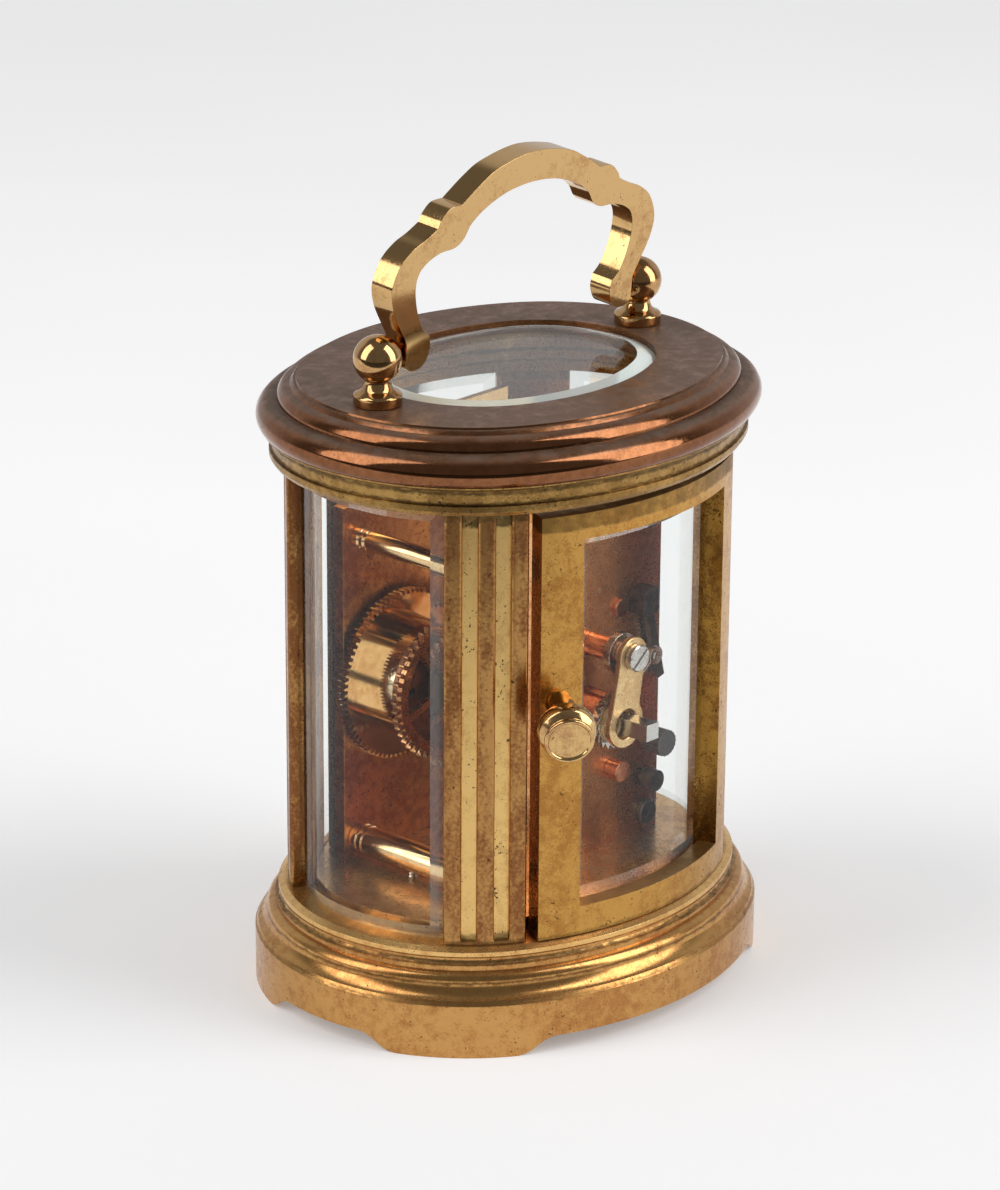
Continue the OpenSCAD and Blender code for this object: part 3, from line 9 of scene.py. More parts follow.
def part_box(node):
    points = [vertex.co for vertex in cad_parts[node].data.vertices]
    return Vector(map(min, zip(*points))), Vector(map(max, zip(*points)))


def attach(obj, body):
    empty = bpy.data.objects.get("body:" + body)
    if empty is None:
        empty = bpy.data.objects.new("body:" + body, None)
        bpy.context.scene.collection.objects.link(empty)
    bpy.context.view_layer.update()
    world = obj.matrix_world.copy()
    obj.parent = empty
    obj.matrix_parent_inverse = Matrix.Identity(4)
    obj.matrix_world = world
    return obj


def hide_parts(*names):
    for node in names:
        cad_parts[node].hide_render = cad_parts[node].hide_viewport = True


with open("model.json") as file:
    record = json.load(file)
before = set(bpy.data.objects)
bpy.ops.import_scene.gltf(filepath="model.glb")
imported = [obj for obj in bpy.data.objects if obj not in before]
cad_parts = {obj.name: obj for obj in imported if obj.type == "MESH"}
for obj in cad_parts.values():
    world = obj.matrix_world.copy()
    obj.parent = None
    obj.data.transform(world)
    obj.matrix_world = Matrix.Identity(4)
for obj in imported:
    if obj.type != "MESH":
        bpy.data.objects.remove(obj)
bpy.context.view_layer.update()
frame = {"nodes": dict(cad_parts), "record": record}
record = frame["record"]
bodyOf = {n: body for body, names in record["behaviour"]["bodies"].items() for n in names}
slotOf = {p["node"]: p["material_slot"] for p in record["subparts"]}
mm = 0.001
near = 2e-6  # m, points nearer than this are one point
rad = math.radians
scene = bpy.context.scene
print("frame loaded,", len(frame["nodes"]), "nodes")

# The camera stands where the photograph was taken
view = {
    "place": (374.5, 336.9, 226.3),  # mm
    "target": (0, 0, 36.6),
    "roll": 0.432,  # degrees
    "lens": 140.06,
    "shift": (-0.0076, 0.0562),
}
towards = Vector((0.743, 0.669, 0))  # level direction from the clock to the camera


def newObject(name, data):
    made = bpy.data.objects.new(name, data)
    bpy.context.collection.objects.link(made)
    return made


def makeCamera():
    data = bpy.data.cameras.new("photoCamera")
    data.lens = view["lens"]
    data.sensor_width = 36
    data.shift_x, data.shift_y = view["shift"]
    data.clip_start, data.clip_end = 0.01, 20
    camera = newObject("photoCamera", data)
    place = Vector(view["place"]) * mm
    look = Vector(view["target"]) * mm - place
    turn = look.to_track_quat("-Z", "Y") @ Matrix.Rotation(rad(view["roll"]), 3, "Z").to_quaternion()
    camera.location = place
    camera.rotation_mode = "QUATERNION"
    camera.rotation_quaternion = turn
    scene.camera = camera


makeCamera()
scene.view_settings.view_transform = "Standard"


class Tree:
    # adds nodes and links to a node tree, by the names of the sockets
    def __init__(self, tree):
        self.tree = tree

    def node(self, kind, settings=None, **inputs):
        made = self.tree.nodes.new(kind)
        for name, value in (settings or {}).items():
            setattr(made, name, value)
        self.fill(made.inputs, **inputs)
        return made

    def numbered(self, kind, settings, inputs):
        # the outputs of a node whose inputs are told apart by number
        made = self.node(kind, settings)
        for i, value in inputs.items():
            self.feed(made.inputs[i], value)
        return made.outputs

    def fill(self, sockets, **values):
        for name, value in values.items():
            self.feed(sockets[name.replace("_", " ")], value)

    def feed(self, socket, value):
        if isinstance(value, bpy.types.NodeSocket):
            self.tree.links.new(value, socket)
        elif isinstance(value, (tuple, list)) and socket.type == "RGBA" and len(value) == 3:
            socket.default_value = (*value, 1)
        else:
            socket.default_value = value

    def math(self, operation, a, b=0.0, clamp=False):
        settings = {"operation": operation, "use_clamp": clamp}
        return self.numbered("ShaderNodeMath", settings, {0: a, 1: b})[0]

    def product(self, first, *others):
        for each in others:
            first = self.math("MULTIPLY", first, each)
        return first

    def total(self, *weighted):
        # sum of (value, weight) pairs
        result = None
        for value, weight in weighted:
            part = self.product(value, weight)
            result = part if result is None else self.math("ADD", result, part)
        return result

    def noise(self, coords, scale, detail=3.0, rough=0.55):
        made = self.node("ShaderNodeTexNoise", Vector=coords, Scale=scale, Detail=detail, Roughness=rough)
        return made.outputs["Fac"]

    def ramp(self, value, low, high, out0=0.0, out1=1.0):
        return self.numbered("ShaderNodeMapRange", {"interpolation_type": "SMOOTHSTEP"},
                             {0: value, 1: low, 2: high, 3: out0, 4: out1})[0]

    def mix(self, factor, a, b):
        return self.numbered("ShaderNodeMix", {"data_type": "RGBA"}, {0: factor, 6: a, 7: b})[2]

    def lerp(self, factor, a, b):
        return self.numbered("ShaderNodeMix", {"data_type": "FLOAT"}, {0: factor, 2: a, 3: b})[0]

    def place(self):
        return self.node("ShaderNodeTexCoord").outputs["Object"]

    def vector(self, operation, inputs):
        return self.numbered("ShaderNodeVectorMath", {"operation": operation}, inputs)

    def along(self, vector, direction):
        return self.vector("DOT_PRODUCT", {0: vector, 1: tuple(direction)})["Value"]


def makeGroup(name, kind, inputs, outputs):
    group = bpy.data.node_groups.new(name, kind)
    for label, socketKind, value in inputs:
        socket = group.interface.new_socket(label, in_out="INPUT", socket_type="NodeSocket" + socketKind)
        if value is not None:
            socket.default_value = (*value, 1) if socketKind == "Color" else value
    for label, socketKind in outputs:
        group.interface.new_socket(label, in_out="OUTPUT", socket_type="NodeSocket" + socketKind)
    given, out = group.nodes.new("NodeGroupInput").outputs, group.nodes.new("NodeGroupOutput").inputs
    return group, Tree(group), given, out


def makeTarnishGroup():
    # broad clouds, mottling and fine grain of tarnish, with small dark specks on top
    group, t, given, out = makeGroup(
        "tarnishedMetal", "ShaderNodeTree",
        [("Metal", "Color", (0.7, 0.5, 0.25)), ("Tarnish", "Color", (0.3, 0.15, 0.08)),
         ("Spots", "Color", (0.08, 0.05, 0.03)), ("Tarnish Amount", "Float", 0.5),
         ("Spot Amount", "Float", 0.3), ("Scale", "Float", 1.0), ("Roughness", "Float", 0.25),
         ("Streak", "Float", 0.0)],
        [("Color", "Color"), ("Roughness", "Float"), ("Height", "Float")])
    sized = t.vector("SCALE", {0: t.place(), 3: given["Scale"]})[0]
    stretch = t.node("ShaderNodeCombineXYZ", X=1.0, Y=1.0, Z=t.lerp(given["Streak"], 1.0, 0.12))
    drawn = t.vector("MULTIPLY", {0: sized, 1: stretch.outputs[0]})[0]
    broad = t.noise(drawn, 120, 3, 0.5)
    mottle = t.noise(drawn, 850, 4, 0.62)
    fine = t.noise(sized, 4200, 2, 0.6)
    clump = t.noise(sized, 330, 2, 0.5)
    dots = t.noise(sized, 2900, 1, 0.5)
    blend = t.total((broad, 0.36), (mottle, 0.40), (fine, 0.24))
    low = t.math("SUBTRACT", 0.56, t.product(given["Tarnish Amount"], 0.28))
    mask = t.ramp(blend, low, t.math("ADD", low, 0.17))
    spotLow = t.math("SUBTRACT", 0.80, t.product(given["Spot Amount"], 0.18))
    spotMask = t.ramp(t.total((dots, 1.0), (clump, 0.4), (0.2, -1.0)), spotLow, t.math("ADD", spotLow, 0.05))
    shade = t.mix(mask, given["Metal"], given["Tarnish"])
    rough = t.total((given["Roughness"], 1.0), (mask, 0.08), (spotMask, 0.3), (fine, 0.16), (0.08, -1.0))
    t.fill(out, Color=t.mix(t.product(spotMask, 0.85), shade, given["Spots"]),
           Roughness=t.math("MAXIMUM", rough, 0.02, clamp=True),
           Height=t.total((fine, 0.3), (mottle, 0.5), (spotMask, -0.5)))
    return group


def makeDustGroup():
    # dust that has settled on what faces up
    group, t, given, out = makeGroup(
        "settledDust", "ShaderNodeTree",
        [("Color", "Color", (0.5, 0.5, 0.5)), ("Roughness", "Float", 0.3),
         ("Dust", "Color", (0.32, 0.27, 0.2)), ("Amount", "Float", 0.5), ("Dust Roughness", "Float", 0.62)],
        [("Color", "Color"), ("Roughness", "Float"), ("Metallic", "Float")])
    normal = t.node("ShaderNodeNewGeometry").outputs["Normal"]
    facing = t.node("ShaderNodeSeparateXYZ", Vector=normal).outputs["Z"]
    patch = t.noise(t.place(), 420, 6, 0.7)
    mask = t.product(t.ramp(facing, 0.6, 0.98), given["Amount"], t.ramp(patch, 0.32, 0.66, 0.4, 1.0))
    t.fill(out, Color=t.mix(mask, given["Color"], given["Dust"]),
           Roughness=t.lerp(mask, given["Roughness"], given["Dust Roughness"]),
           Metallic=t.math("SUBTRACT", 1.0, mask))
    return group


def makeGrimeAndShadeGroup():
    # darkening between two heights, with a ragged edge: painted shade in grooves, under the cornice and where
    # parts meet, with some grime
    group, t, given, out = makeGroup(
        "grimeAndPaintedShade", "ShaderNodeTree",
        [("Color", "Color", (0.5, 0.5, 0.5)), ("Roughness", "Float", 0.3),
         ("Shade And Grime", "Color", (0.05, 0.035, 0.015)), ("Low", "Float", 0.0), ("High", "Float", 0.01),
         ("Amount", "Float", 0.7)],
        [("Color", "Color"), ("Roughness", "Float")])
    place = t.place()
    height = t.node("ShaderNodeSeparateXYZ", Vector=place).outputs["Z"]
    ragged = t.total((height, 1.0), (t.noise(place, 900, 3), 0.0008), (0.0004, -1.0))
    fade = 0.2 * mm

    def above(end, *outs):
        return t.ramp(ragged, t.math("SUBTRACT", given[end], fade), t.math("ADD", given[end], fade), *outs)

    up, down = above("Low"), above("High", 1.0, 0.0)
    patches = t.ramp(t.noise(place, 600, 4, 0.65), 0.3, 0.6, 0.5, 1.0)
    mask = t.product(up, down, given["Amount"], patches)
    t.fill(out, Color=t.mix(mask, given["Color"], given["Shade And Grime"]),
           Roughness=t.lerp(mask, given["Roughness"], 0.6))
    return group


tarnishGroup = makeTarnishGroup()
dustGroup = makeDustGroup()
grimeAndShadeGroup = makeGrimeAndShadeGroup()

# Metals: linear colours, amounts from 0 to 1, grime and painted shade as (low mm, high mm, amount), no dust
# unless given
finishes = {
    "brass_aged": dict(metal=(0.53, 0.355, 0.125), tarnish=(0.40, 0.235, 0.075), spots=(0.13, 0.075, 0.03),
                       amount=0.5, spotAmount=0.45, rough=0.27, dust=0.25, dustColor=(0.20, 0.14, 0.07)),
    "plinth": dict(metal=(0.59, 0.32, 0.105), tarnish=(0.44, 0.20, 0.062), spots=(0.14, 0.07, 0.03),
                   amount=0.45, spotAmount=0.45, rough=0.19, dust=0.2, dustColor=(0.22, 0.155, 0.065),
                   bump=0.1,
                   # bands of painted shade in the grooves of the moulding, partly grime
                   grimeAndShade=[(10.35, 10.75, 0.8), (8.4, 8.75, 0.7), (6.4, 6.65, 0.6)]),
    # the plinth's upper edge: a lighter copy of the plinth brass, a painted highlight
    "ledge": dict(metal=(0.82, 0.51, 0.19), tarnish=(0.64, 0.35, 0.12), spots=(0.16, 0.08, 0.03),
                  amount=0.4, spotAmount=0.45, rough=0.24, dust=0.1, grimeAndShade=[(12.25, 12.5, 0.3)]),
    "cornice": dict(metal=(0.265, 0.108, 0.046), tarnish=(0.19, 0.073, 0.03), spots=(0.07, 0.035, 0.02),
                    amount=0.5, spotAmount=0.3, rough=0.08, dust=0.75, dustColor=(0.125, 0.09, 0.066),
                    dustRough=0.78, coat=0.05, bump=0.05,
                    # bands of painted shade in the grooves, partly grime
                    grimeAndShade=[(70.55, 70.8, 0.7), (72.6, 72.85, 0.5)]),
    "cavetto": dict(metal=(0.42, 0.25, 0.08), tarnish=(0.27, 0.15, 0.045), spots=(0.09, 0.055, 0.025),
                    amount=0.55, spotAmount=0.6, rough=0.25,
                    # painted shade in a groove and a painted shadow under the torus, partly grime
                    grimeAndShade=[(64.95, 65.3, 0.7), (66.2, 66.75, 0.75)]),
    "reed": dict(metal=(0.46, 0.245, 0.08), tarnish=(0.235, 0.092, 0.033), spots=(0.11, 0.05, 0.025),
                 amount=0.55, spotAmount=0.35, rough=0.22, streak=0.75, scale=0.6, dust=0.2,
                 # the top band is a painted shadow under the cornice, partly dirt; the low band painted shade
                 # at the ledge
                 grimeAndShade=[(62.6, 63.9, 0.6), (12.2, 12.7, 0.5)]),
    "recess": dict(metal=(0.82, 0.54, 0.20), tarnish=(0.65, 0.395, 0.14), spots=(0.07, 0.045, 0.02),
                   amount=0.4, spotAmount=0.62, rough=0.33, streak=0.3,
                   # the top band is a painted shadow under the cornice, partly dirt; the low band painted
                   # shade at the ledge
                   grimeAndShade=[(61.9, 63.9, 0.8), (12.2, 13.4, 0.6)]),
    "door": dict(metal=(0.55, 0.30, 0.075), tarnish=(0.41, 0.19, 0.045), spots=(0.15, 0.08, 0.03),
                 amount=0.42, spotAmount=0.45, rough=0.23, dust=0.3, dustColor=(0.22, 0.16, 0.08),
                 # the band at the top is a painted shadow of the cornice's overhang, the low band painted
                 # shade where the door meets the ledge
                 grimeAndShade=[(60.9, 63.0, 0.6), (12.2, 12.7, 0.5)]),
    # a darker copy of the door brass for the faces of the door's opening: painted shade
    "reveal": dict(metal=(0.34, 0.175, 0.035), tarnish=(0.20, 0.09, 0.02), spots=(0.08, 0.04, 0.015),
                   amount=0.5, spotAmount=0.5, rough=0.22, dust=0.4, dustColor=(0.25, 0.18, 0.09)),
    "caseFloor": dict(metal=(0.52, 0.27, 0.09), tarnish=(0.34, 0.15, 0.05), spots=(0.08, 0.045, 0.02),
                      amount=0.5, spotAmount=0.75, rough=0.13, dust=0.3, dustColor=(0.30, 0.24, 0.12)),
    "handle": dict(metal=(0.62, 0.39, 0.165), tarnish=(0.45, 0.25, 0.10), spots=(0.14, 0.08, 0.04),
                   amount=0.22, spotAmount=0.25, rough=0.1, bump=0.05),
    "post": dict(metal=(0.57, 0.345, 0.15), tarnish=(0.42, 0.22, 0.09), spots=(0.16, 0.08, 0.04),
                 amount=0.35, spotAmount=0.2, rough=0.08, bump=0.06),
    "knob": dict(metal=(0.67, 0.44, 0.185), tarnish=(0.46, 0.25, 0.11), spots=(0.12, 0.06, 0.03),
                 amount=0.45, spotAmount=0.45, rough=0.11),
    "brass_bright": dict(metal=(0.70, 0.42, 0.19), tarnish=(0.52, 0.27, 0.11), spots=(0.16, 0.08, 0.04),
                         amount=0.35, spotAmount=0.2, rough=0.07),
    "platePillar": dict(metal=(0.88, 0.60, 0.32), tarnish=(0.74, 0.43, 0.19), spots=(0.3, 0.14, 0.06),
                        amount=0.3, spotAmount=0.2, rough=0.14),
    "brass_plate": dict(metal=(0.84, 0.42, 0.14), tarnish=(0.50, 0.185, 0.05), spots=(0.12, 0.045, 0.02),
                        amount=0.5, spotAmount=0.55, rough=0.3, dust=0.1),
    "dialPlate": dict(metal=(0.76, 0.49, 0.21), tarnish=(0.66, 0.40, 0.165), spots=(0.3, 0.15, 0.06),
                      amount=0.3, spotAmount=0.2, rough=0.28),
    "back_plate_lacquer": dict(metal=(0.88, 0.45, 0.21), tarnish=(0.58, 0.23, 0.085),
                               spots=(0.12, 0.045, 0.025), amount=0.45, spotAmount=0.7, rough=0.27),
    "bridge": dict(metal=(0.76, 0.53, 0.26), tarnish=(0.60, 0.38, 0.17), spots=(0.2, 0.1, 0.04),
                   amount=0.4, spotAmount=0.4, rough=0.26),
    "train_brass": dict(metal=(0.86, 0.58, 0.27), tarnish=(0.62, 0.34, 0.13), spots=(0.2, 0.09, 0.04),
                        amount=0.4, spotAmount=0.25, rough=0.13),
    "drum": dict(metal=(0.93, 0.72, 0.46), tarnish=(0.80, 0.54, 0.29), spots=(0.3, 0.15, 0.07),
                 amount=0.3, spotAmount=0.1, rough=0.09),
    "gearBrown": dict(metal=(0.50, 0.26, 0.12), tarnish=(0.33, 0.15, 0.06), spots=(0.1, 0.045, 0.02),
                      amount=0.5, spotAmount=0.3, rough=0.25),
    "lid_brown": dict(metal=(0.26, 0.115, 0.065), tarnish=(0.16, 0.065, 0.035), spots=(0.07, 0.035, 0.02),
                      amount=0.5, spotAmount=0.4, rough=0.36),
    "copper": dict(metal=(0.86, 0.42, 0.24), tarnish=(0.55, 0.22, 0.11), spots=(0.2, 0.08, 0.05),
                   amount=0.35, spotAmount=0.3, rough=0.13),
    "steel_dark": dict(metal=(0.14, 0.14, 0.15), tarnish=(0.07, 0.062, 0.06), spots=(0.16, 0.09, 0.05),
                       amount=0.5, spotAmount=0.2, rough=0.3),
    "steel_bright": dict(metal=(0.60, 0.58, 0.55), tarnish=(0.42, 0.38, 0.34), spots=(0.16, 0.11, 0.08),
                         amount=0.4, spotAmount=0.3, rough=0.2),
    "steel_blue": dict(metal=(0.05, 0.08, 0.26), tarnish=(0.03, 0.04, 0.14), spots=(0.05, 0.04, 0.06),
                       amount=0.4, spotAmount=0.15, rough=0.18),
}


def newMaterial(name):
    material = bpy.data.materials.new(name)
    material.use_nodes = True
    return material, Tree(material.node_tree), material.node_tree.nodes["Principled BSDF"]


def metalFinish(name, look):
    material, t, shader = newMaterial(name)
    worn = t.node("ShaderNodeGroup", {"node_tree": tarnishGroup}, Metal=look["metal"],
                  Tarnish=look["tarnish"], Spots=look["spots"], Tarnish_Amount=look["amount"],
                  Spot_Amount=look["spotAmount"],
                  Scale=look.get("scale", 1.0), Roughness=look["rough"], Streak=look.get("streak", 0.0))
    color, rough = worn.outputs["Color"], worn.outputs["Roughness"]
    # bands of painted shade, partly grime, darken the colour between the given heights
    for low, high, amount in look.get("grimeAndShade", []):
        grimedAndShaded = t.node("ShaderNodeGroup", {"node_tree": grimeAndShadeGroup}, Color=color, Roughness=rough,
                       Low=low * mm, High=high * mm, Amount=amount)
        color, rough = grimedAndShaded.outputs["Color"], grimedAndShaded.outputs["Roughness"]
    dusty = t.node("ShaderNodeGroup", {"node_tree": dustGroup}, Color=color, Roughness=rough,
                   Amount=look.get("dust", 0.0), Dust=look.get("dustColor", (0.20, 0.16, 0.10)),
                   Dust_Roughness=look.get("dustRough", 0.62))
    bump = t.node("ShaderNodeBump", Strength=look.get("bump", 0.14), Distance=0.05 * mm,
                  Height=worn.outputs["Height"])
    t.fill(shader.inputs, Base_Color=dusty.outputs["Color"], Roughness=dusty.outputs["Roughness"],
           Metallic=dusty.outputs["Metallic"], Normal=bump.outputs["Normal"],
           Coat_Weight=look.get("coat", 0.0), Coat_Roughness=0.05)
    return material


glass = {
    "clear": (0.975, 0.99, 0.982),
    "filmed": (0.94, 0.965, 0.95),
    "bend": 1.22,  # lower than real glass, so that reflections don't veil the movement
    "rimBend": 1.5,
}
# Edges and bevels of the glasses: tint, clearness, least and most roughness; the ground edge is frosted, the
# pale tint of the bevels is a painted reflection
groundAndPaintedBevels = {
    "groundEdge": ((0.50, 0.72, 0.66), 0.55, 0.25, 0.45),
    "bevelPaintedReflection": ((0.66, 0.84, 0.79), 0.45, 0.06, 0.16),
    "slopePaintedReflection": ((0.80, 0.90, 0.86), 0.86, 0.02, 0.06),
}
# Dial: light and dark colour, coat
enamels = {
    "enamel": ((0.84, 0.83, 0.79), (0.78, 0.76, 0.70), 0.6),
    "dialInk": ((0.012, 0.012, 0.014), (0.03, 0.028, 0.028), 0.3),
}


def glassFinish():
    material, t, shader = newMaterial("glass")
    film = t.noise(t.place(), 260, 4, 0.6)
    t.fill(shader.inputs, Base_Color=t.mix(t.ramp(film, 0.45, 0.75), glass["clear"], glass["filmed"]),
           Roughness=0, Metallic=0, Transmission_Weight=1, IOR=glass["bend"])
    return material


# pale, partly clear glass: frosted on the ground edges, a painted reflection on the bevels
def groundAndPaintedBevelFinish(name, tint, clear, low, high):
    material, t, shader = newMaterial(name)
    grain = t.noise(t.place(), 3500, 2, 0.6)
    t.fill(shader.inputs, Base_Color=t.mix(grain, tint, glass["filmed"]),
           Roughness=t.ramp(grain, 0.3, 0.7, low, high),
           Metallic=0, Transmission_Weight=clear, IOR=glass["rimBend"])
    return material


def enamelFinish(name, light, dark, coat):
    material, t, shader = newMaterial(name)
    cloud = t.noise(t.place(), 150, 4, 0.6)
    t.fill(shader.inputs, Base_Color=t.mix(t.ramp(cloud, 0.35, 0.7), light, dark),
           Roughness=t.ramp(cloud, 0.3, 0.8, 0.12, 0.24), Coat_Weight=coat, Coat_Roughness=0.06)
    return material


materials = {name: metalFinish(name, look) for name, look in finishes.items()}
materials["glass"] = glassFinish()
materials.update({name: groundAndPaintedBevelFinish(name, *look) for name, look in groundAndPaintedBevels.items()})
materials.update({name: enamelFinish(name, *look) for name, look in enamels.items()})
print("finishes made")


dressed = set()  # nodes that a finished piece stands for


def newPiece(name, mesh, materialNames, node):
    # a finished piece rides on the body of the node that it stands for
    names = [materialNames] if isinstance(materialNames, str) else materialNames
    numbers = [face.material_index if len(names) > 1 else 0 for face in mesh.polygons]
    mesh.materials.clear()
    for each in names:
        mesh.materials.append(materials[each])
    mesh.polygons.foreach_set("material_index", numbers)
    piece = newObject(name, mesh)
    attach(piece, bodyOf[node])
    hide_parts(node)
    # light from the soft boxes goes through the glasses unbent
    piece.visible_shadow = slotOf[node] != "glass"
    dressed.add(node)


def applied(mesh, addModifiers):
    # the mesh with its modifiers applied, as a plain mesh
    holder = newObject("holder", mesh)
    addModifiers(holder)
    evaluated = holder.evaluated_get(bpy.context.evaluated_depsgraph_get())
    result = bpy.data.meshes.new_from_object(evaluated)
    bpy.data.objects.remove(holder)
    return result


def plainMesh(bm, name):
    mesh = bpy.data.meshes.new(name)
    bm.to_mesh(mesh)
    bm.free()
    return mesh


def shapeOf(mesh):
    bm = bmesh.new()
    bm.from_mesh(mesh)
    return bm


def meshOf(bm, name, angle):
    # a mesh that is smooth but for the edges sharper than the angle
    for face in bm.faces:
        face.smooth = True
    for edge in bm.edges:
        edge.smooth = len(edge.link_faces) != 2 or edge.calc_face_angle(0) < rad(angle)
    return plainMesh(bm, name)


def easedMesh(bm, name, width, segments=2, angle=30):
    mesh = meshOf(bm, name, angle)
    if not width:
        return mesh

    def ease(holder):
        made = holder.modifiers.new("eased", "BEVEL")
        made.width = width * mm
        made.segments = segments
        made.limit_method = "ANGLE"
        made.angle_limit = rad(angle)
        made.miter_outer = "MITER_ARC"
        shading = holder.modifiers.new("evenShading", "WEIGHTED_NORMAL")
        shading.keep_sharp = True
        shading.weight = 100

    return applied(mesh, ease)


def tidied(bm):
    bmesh.ops.remove_doubles(bm, verts=bm.verts, dist=near)
    bmesh.ops.recalc_face_normals(bm, faces=bm.faces)
    return bm


def softened(bm, name, width, segments=2, angle=30):
    # merges doubles, rounds the sharp edges and shades the rest smooth
    return easedMesh(tidied(bm), name, width, segments, angle)


def easedCopy(node, width=0.05, segments=2, angle=32, finish=None, choose=None):
    # a copy of a CAD node with its loose triangles merged and its edges eased
    bm = shapeOf(frame["nodes"][node].data)
    bmesh.ops.remove_doubles(bm, verts=bm.verts, dist=near)
    bmesh.ops.dissolve_limit(bm, angle_limit=rad(0.4), verts=bm.verts, edges=bm.edges)
    mesh = easedMesh(bm, node + "Eased", width, segments, angle)
    if choose:
        painted(mesh, choose)
    newPiece(node + "Eased", mesh, finish or slotOf[node], node)


def painted(mesh, choose):
    # choose(centre in mm, normal) gives the number of the material of each face
    for face in mesh.polygons:
        face.material_index = choose(face.center / mm, face.normal)
    return mesh


def addShape(whole, part):
    mesh = plainMesh(part, "part")
    whole.from_mesh(mesh)
    bpy.data.meshes.remove(mesh)


def joined(*parts):
    # several bmesh shapes as one, each closed and facing outwards
    whole = bmesh.new()
    for part in parts:
        addShape(whole, tidied(part))
    return whole


def between(bm, a, b):
    # faces between two closed rows of points
    for i in range(len(a)):
        j = (i + 1) % len(a)
        bm.faces.new((a[i], a[j], b[j], b[i]))


def meshFromLoops(loops, capFirst=False, capLast=False, ring=False):
    # skin over closed loops of equal count; ring joins the last loop to the first
    bm = bmesh.new()
    rows = [[bm.verts.new(Vector(p) * mm) for p in loop] for loop in loops]
    for a, b in list(zip(rows, rows[1:])) + ([(rows[-1], rows[0])] if ring else []):
        between(bm, a, b)
    if capFirst:
        bm.faces.new(rows[0])
    if capLast:
        bm.faces.new(rows[-1])
    return bm


def turned(profile, place, steps=64):
    # a turned piece: profile as (radius, height), from the axis back to the axis
    bm = bmesh.new()
    rows = []
    for r, z in profile:
        if r < 1e-6:
            rows.append([bm.verts.new(place @ (Vector((0, 0, z)) * mm))])
        else:
            rows.append([bm.verts.new(place @ (Vector((r * math.cos(a), r * math.sin(a), z)) * mm))
                         for a in (2 * math.pi * i / steps for i in range(steps))])
    for a, b in zip(rows, rows[1:]):
        for i in range(steps):
            j = (i + 1) % steps
            corners = [a[i % len(a)], a[j % len(a)], b[j % len(b)], b[i % len(b)]]
            bm.faces.new(list(dict.fromkeys(corners)))
    return bm


def onCircle(cx, cy, r, angle):
    return cx + r * math.cos(rad(angle)), cy + r * math.sin(rad(angle))


def arc(cx, cy, r, start, end, steps):
    return [onCircle(cx, cy, r, start + (end - start) * i / steps) for i in range(steps + 1)]


def upAt(x, y, z=0):
    return Matrix.Translation(Vector((x, y, z)) * mm)


def middle(node):
    low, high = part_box(node)
    return (Vector(low) + Vector(high)) / 2 / mm


# Oval mouldings of the case, in mm
case = {
    "oval": (28.0, 23.0, 21.0),  # half length, half width, end radius
    "glassOval": (18.35, 14.25, 13.0),
    "glassDeep": 2,
    "lid": 2.5,  # thickness of the cornice's top
    "glassRim": [(-0.06, -1.98), (-0.06, -0.7), (-2.2, 0)],  # outwards, height against the top
    "rebate": 0.8,
    "ledge": 12.2,
    "seat": 13.8,
    "torus": 11.1,  # height where the painted highlight of the upper edge starts
    "floor": 8.5,
    "corniceFoot": 63.8,
    "top": 73.0,
    "wall": 3.2,
    "endSteps": 60,
    "sideSteps": 100,
    "footCut": (21.2, 9.95, 1.95, 4.5),  # half lengths of the cut-outs, height, length of the curved step
    "zones": 67.32,  # height where the brown of the cornice starts
    # profiles: points as (outwards, height), arcs as (centre, radius, angles, steps)
    "skirt": 1.66,  # inner face of the skirt
    "plinth": [(3.86, 6.38), (3.5, 6.93), (4.27, 8.6, 1.82, 245, 181, 10), (2.5, 8.66),
               (1.5, 8.7, 1.0, 2, 90, 10), (1.5, 10.36), (1.6, 10.95, 0.6, 258, 146, 8), (1.1, 11.8),
               (0.35, 12.2)],
    "cornice": [(1.3, 63.8), (1.65, 64.3), (1.65, 64.95), (1.35, 65.05), (1.45, 66.1), (1.51, 66.3),
                (2.385, 66.24, 0.875, 178, 92, 8), (2.4, 67.3), (1.2, 68.8, 1.9, 308, 456, 30),
                (0.76, 70.72), (-0.75, 70.8, 1.5, 0, 90, 12), (-1.15, 72.72), (-1.4, 72.76), (-1.5, 73.0)],
    "rounding": {"plinthMoulding": (0.09, 2, 24), "corniceMoulding": (0.07, 2, 26)},  # mm, steps, degrees
}


def profilePoints(profile):
    return [point for item in profile for point in (arc(*item) if len(item) > 2 else [item])]


def moulding(name, loops, **ends):
    return softened(meshFromLoops(loops, **ends), name, *case["rounding"][name])


def ovalCentres(oval):
    # distances of the end arc's and the side arc's centres from the middle, and the side's radius
    halfLength, halfWidth, endRadius = oval
    endX = halfLength - endRadius
    sideRadius = (halfWidth ** 2 + endX ** 2 - endRadius ** 2) / (2 * (halfWidth - endRadius))
    return endX, sideRadius - halfWidth, sideRadius


def ovalLoop(oval, out, z):
    endRadius = oval[2]
    endX, sideY, sideRadius = ovalCentres(oval)
    join = math.degrees(math.atan2(sideY, endX))
    arcs = [(endX, 0, endRadius, -join, join, case["endSteps"]),
            (0, -sideY, sideRadius, join, 180 - join, case["sideSteps"]),
            (-endX, 0, endRadius, 180 - join, 180 + join, case["endSteps"]),
            (0, sideY, sideRadius, 180 + join, 360 - join, case["sideSteps"])]
    flat = [p for cx, cy, r, a, b, n in arcs for p in arc(cx, cy, r + out, a, b, n)[:-1]]
    return [(x, y, z(x, y) if callable(z) else z) for x, y in flat]


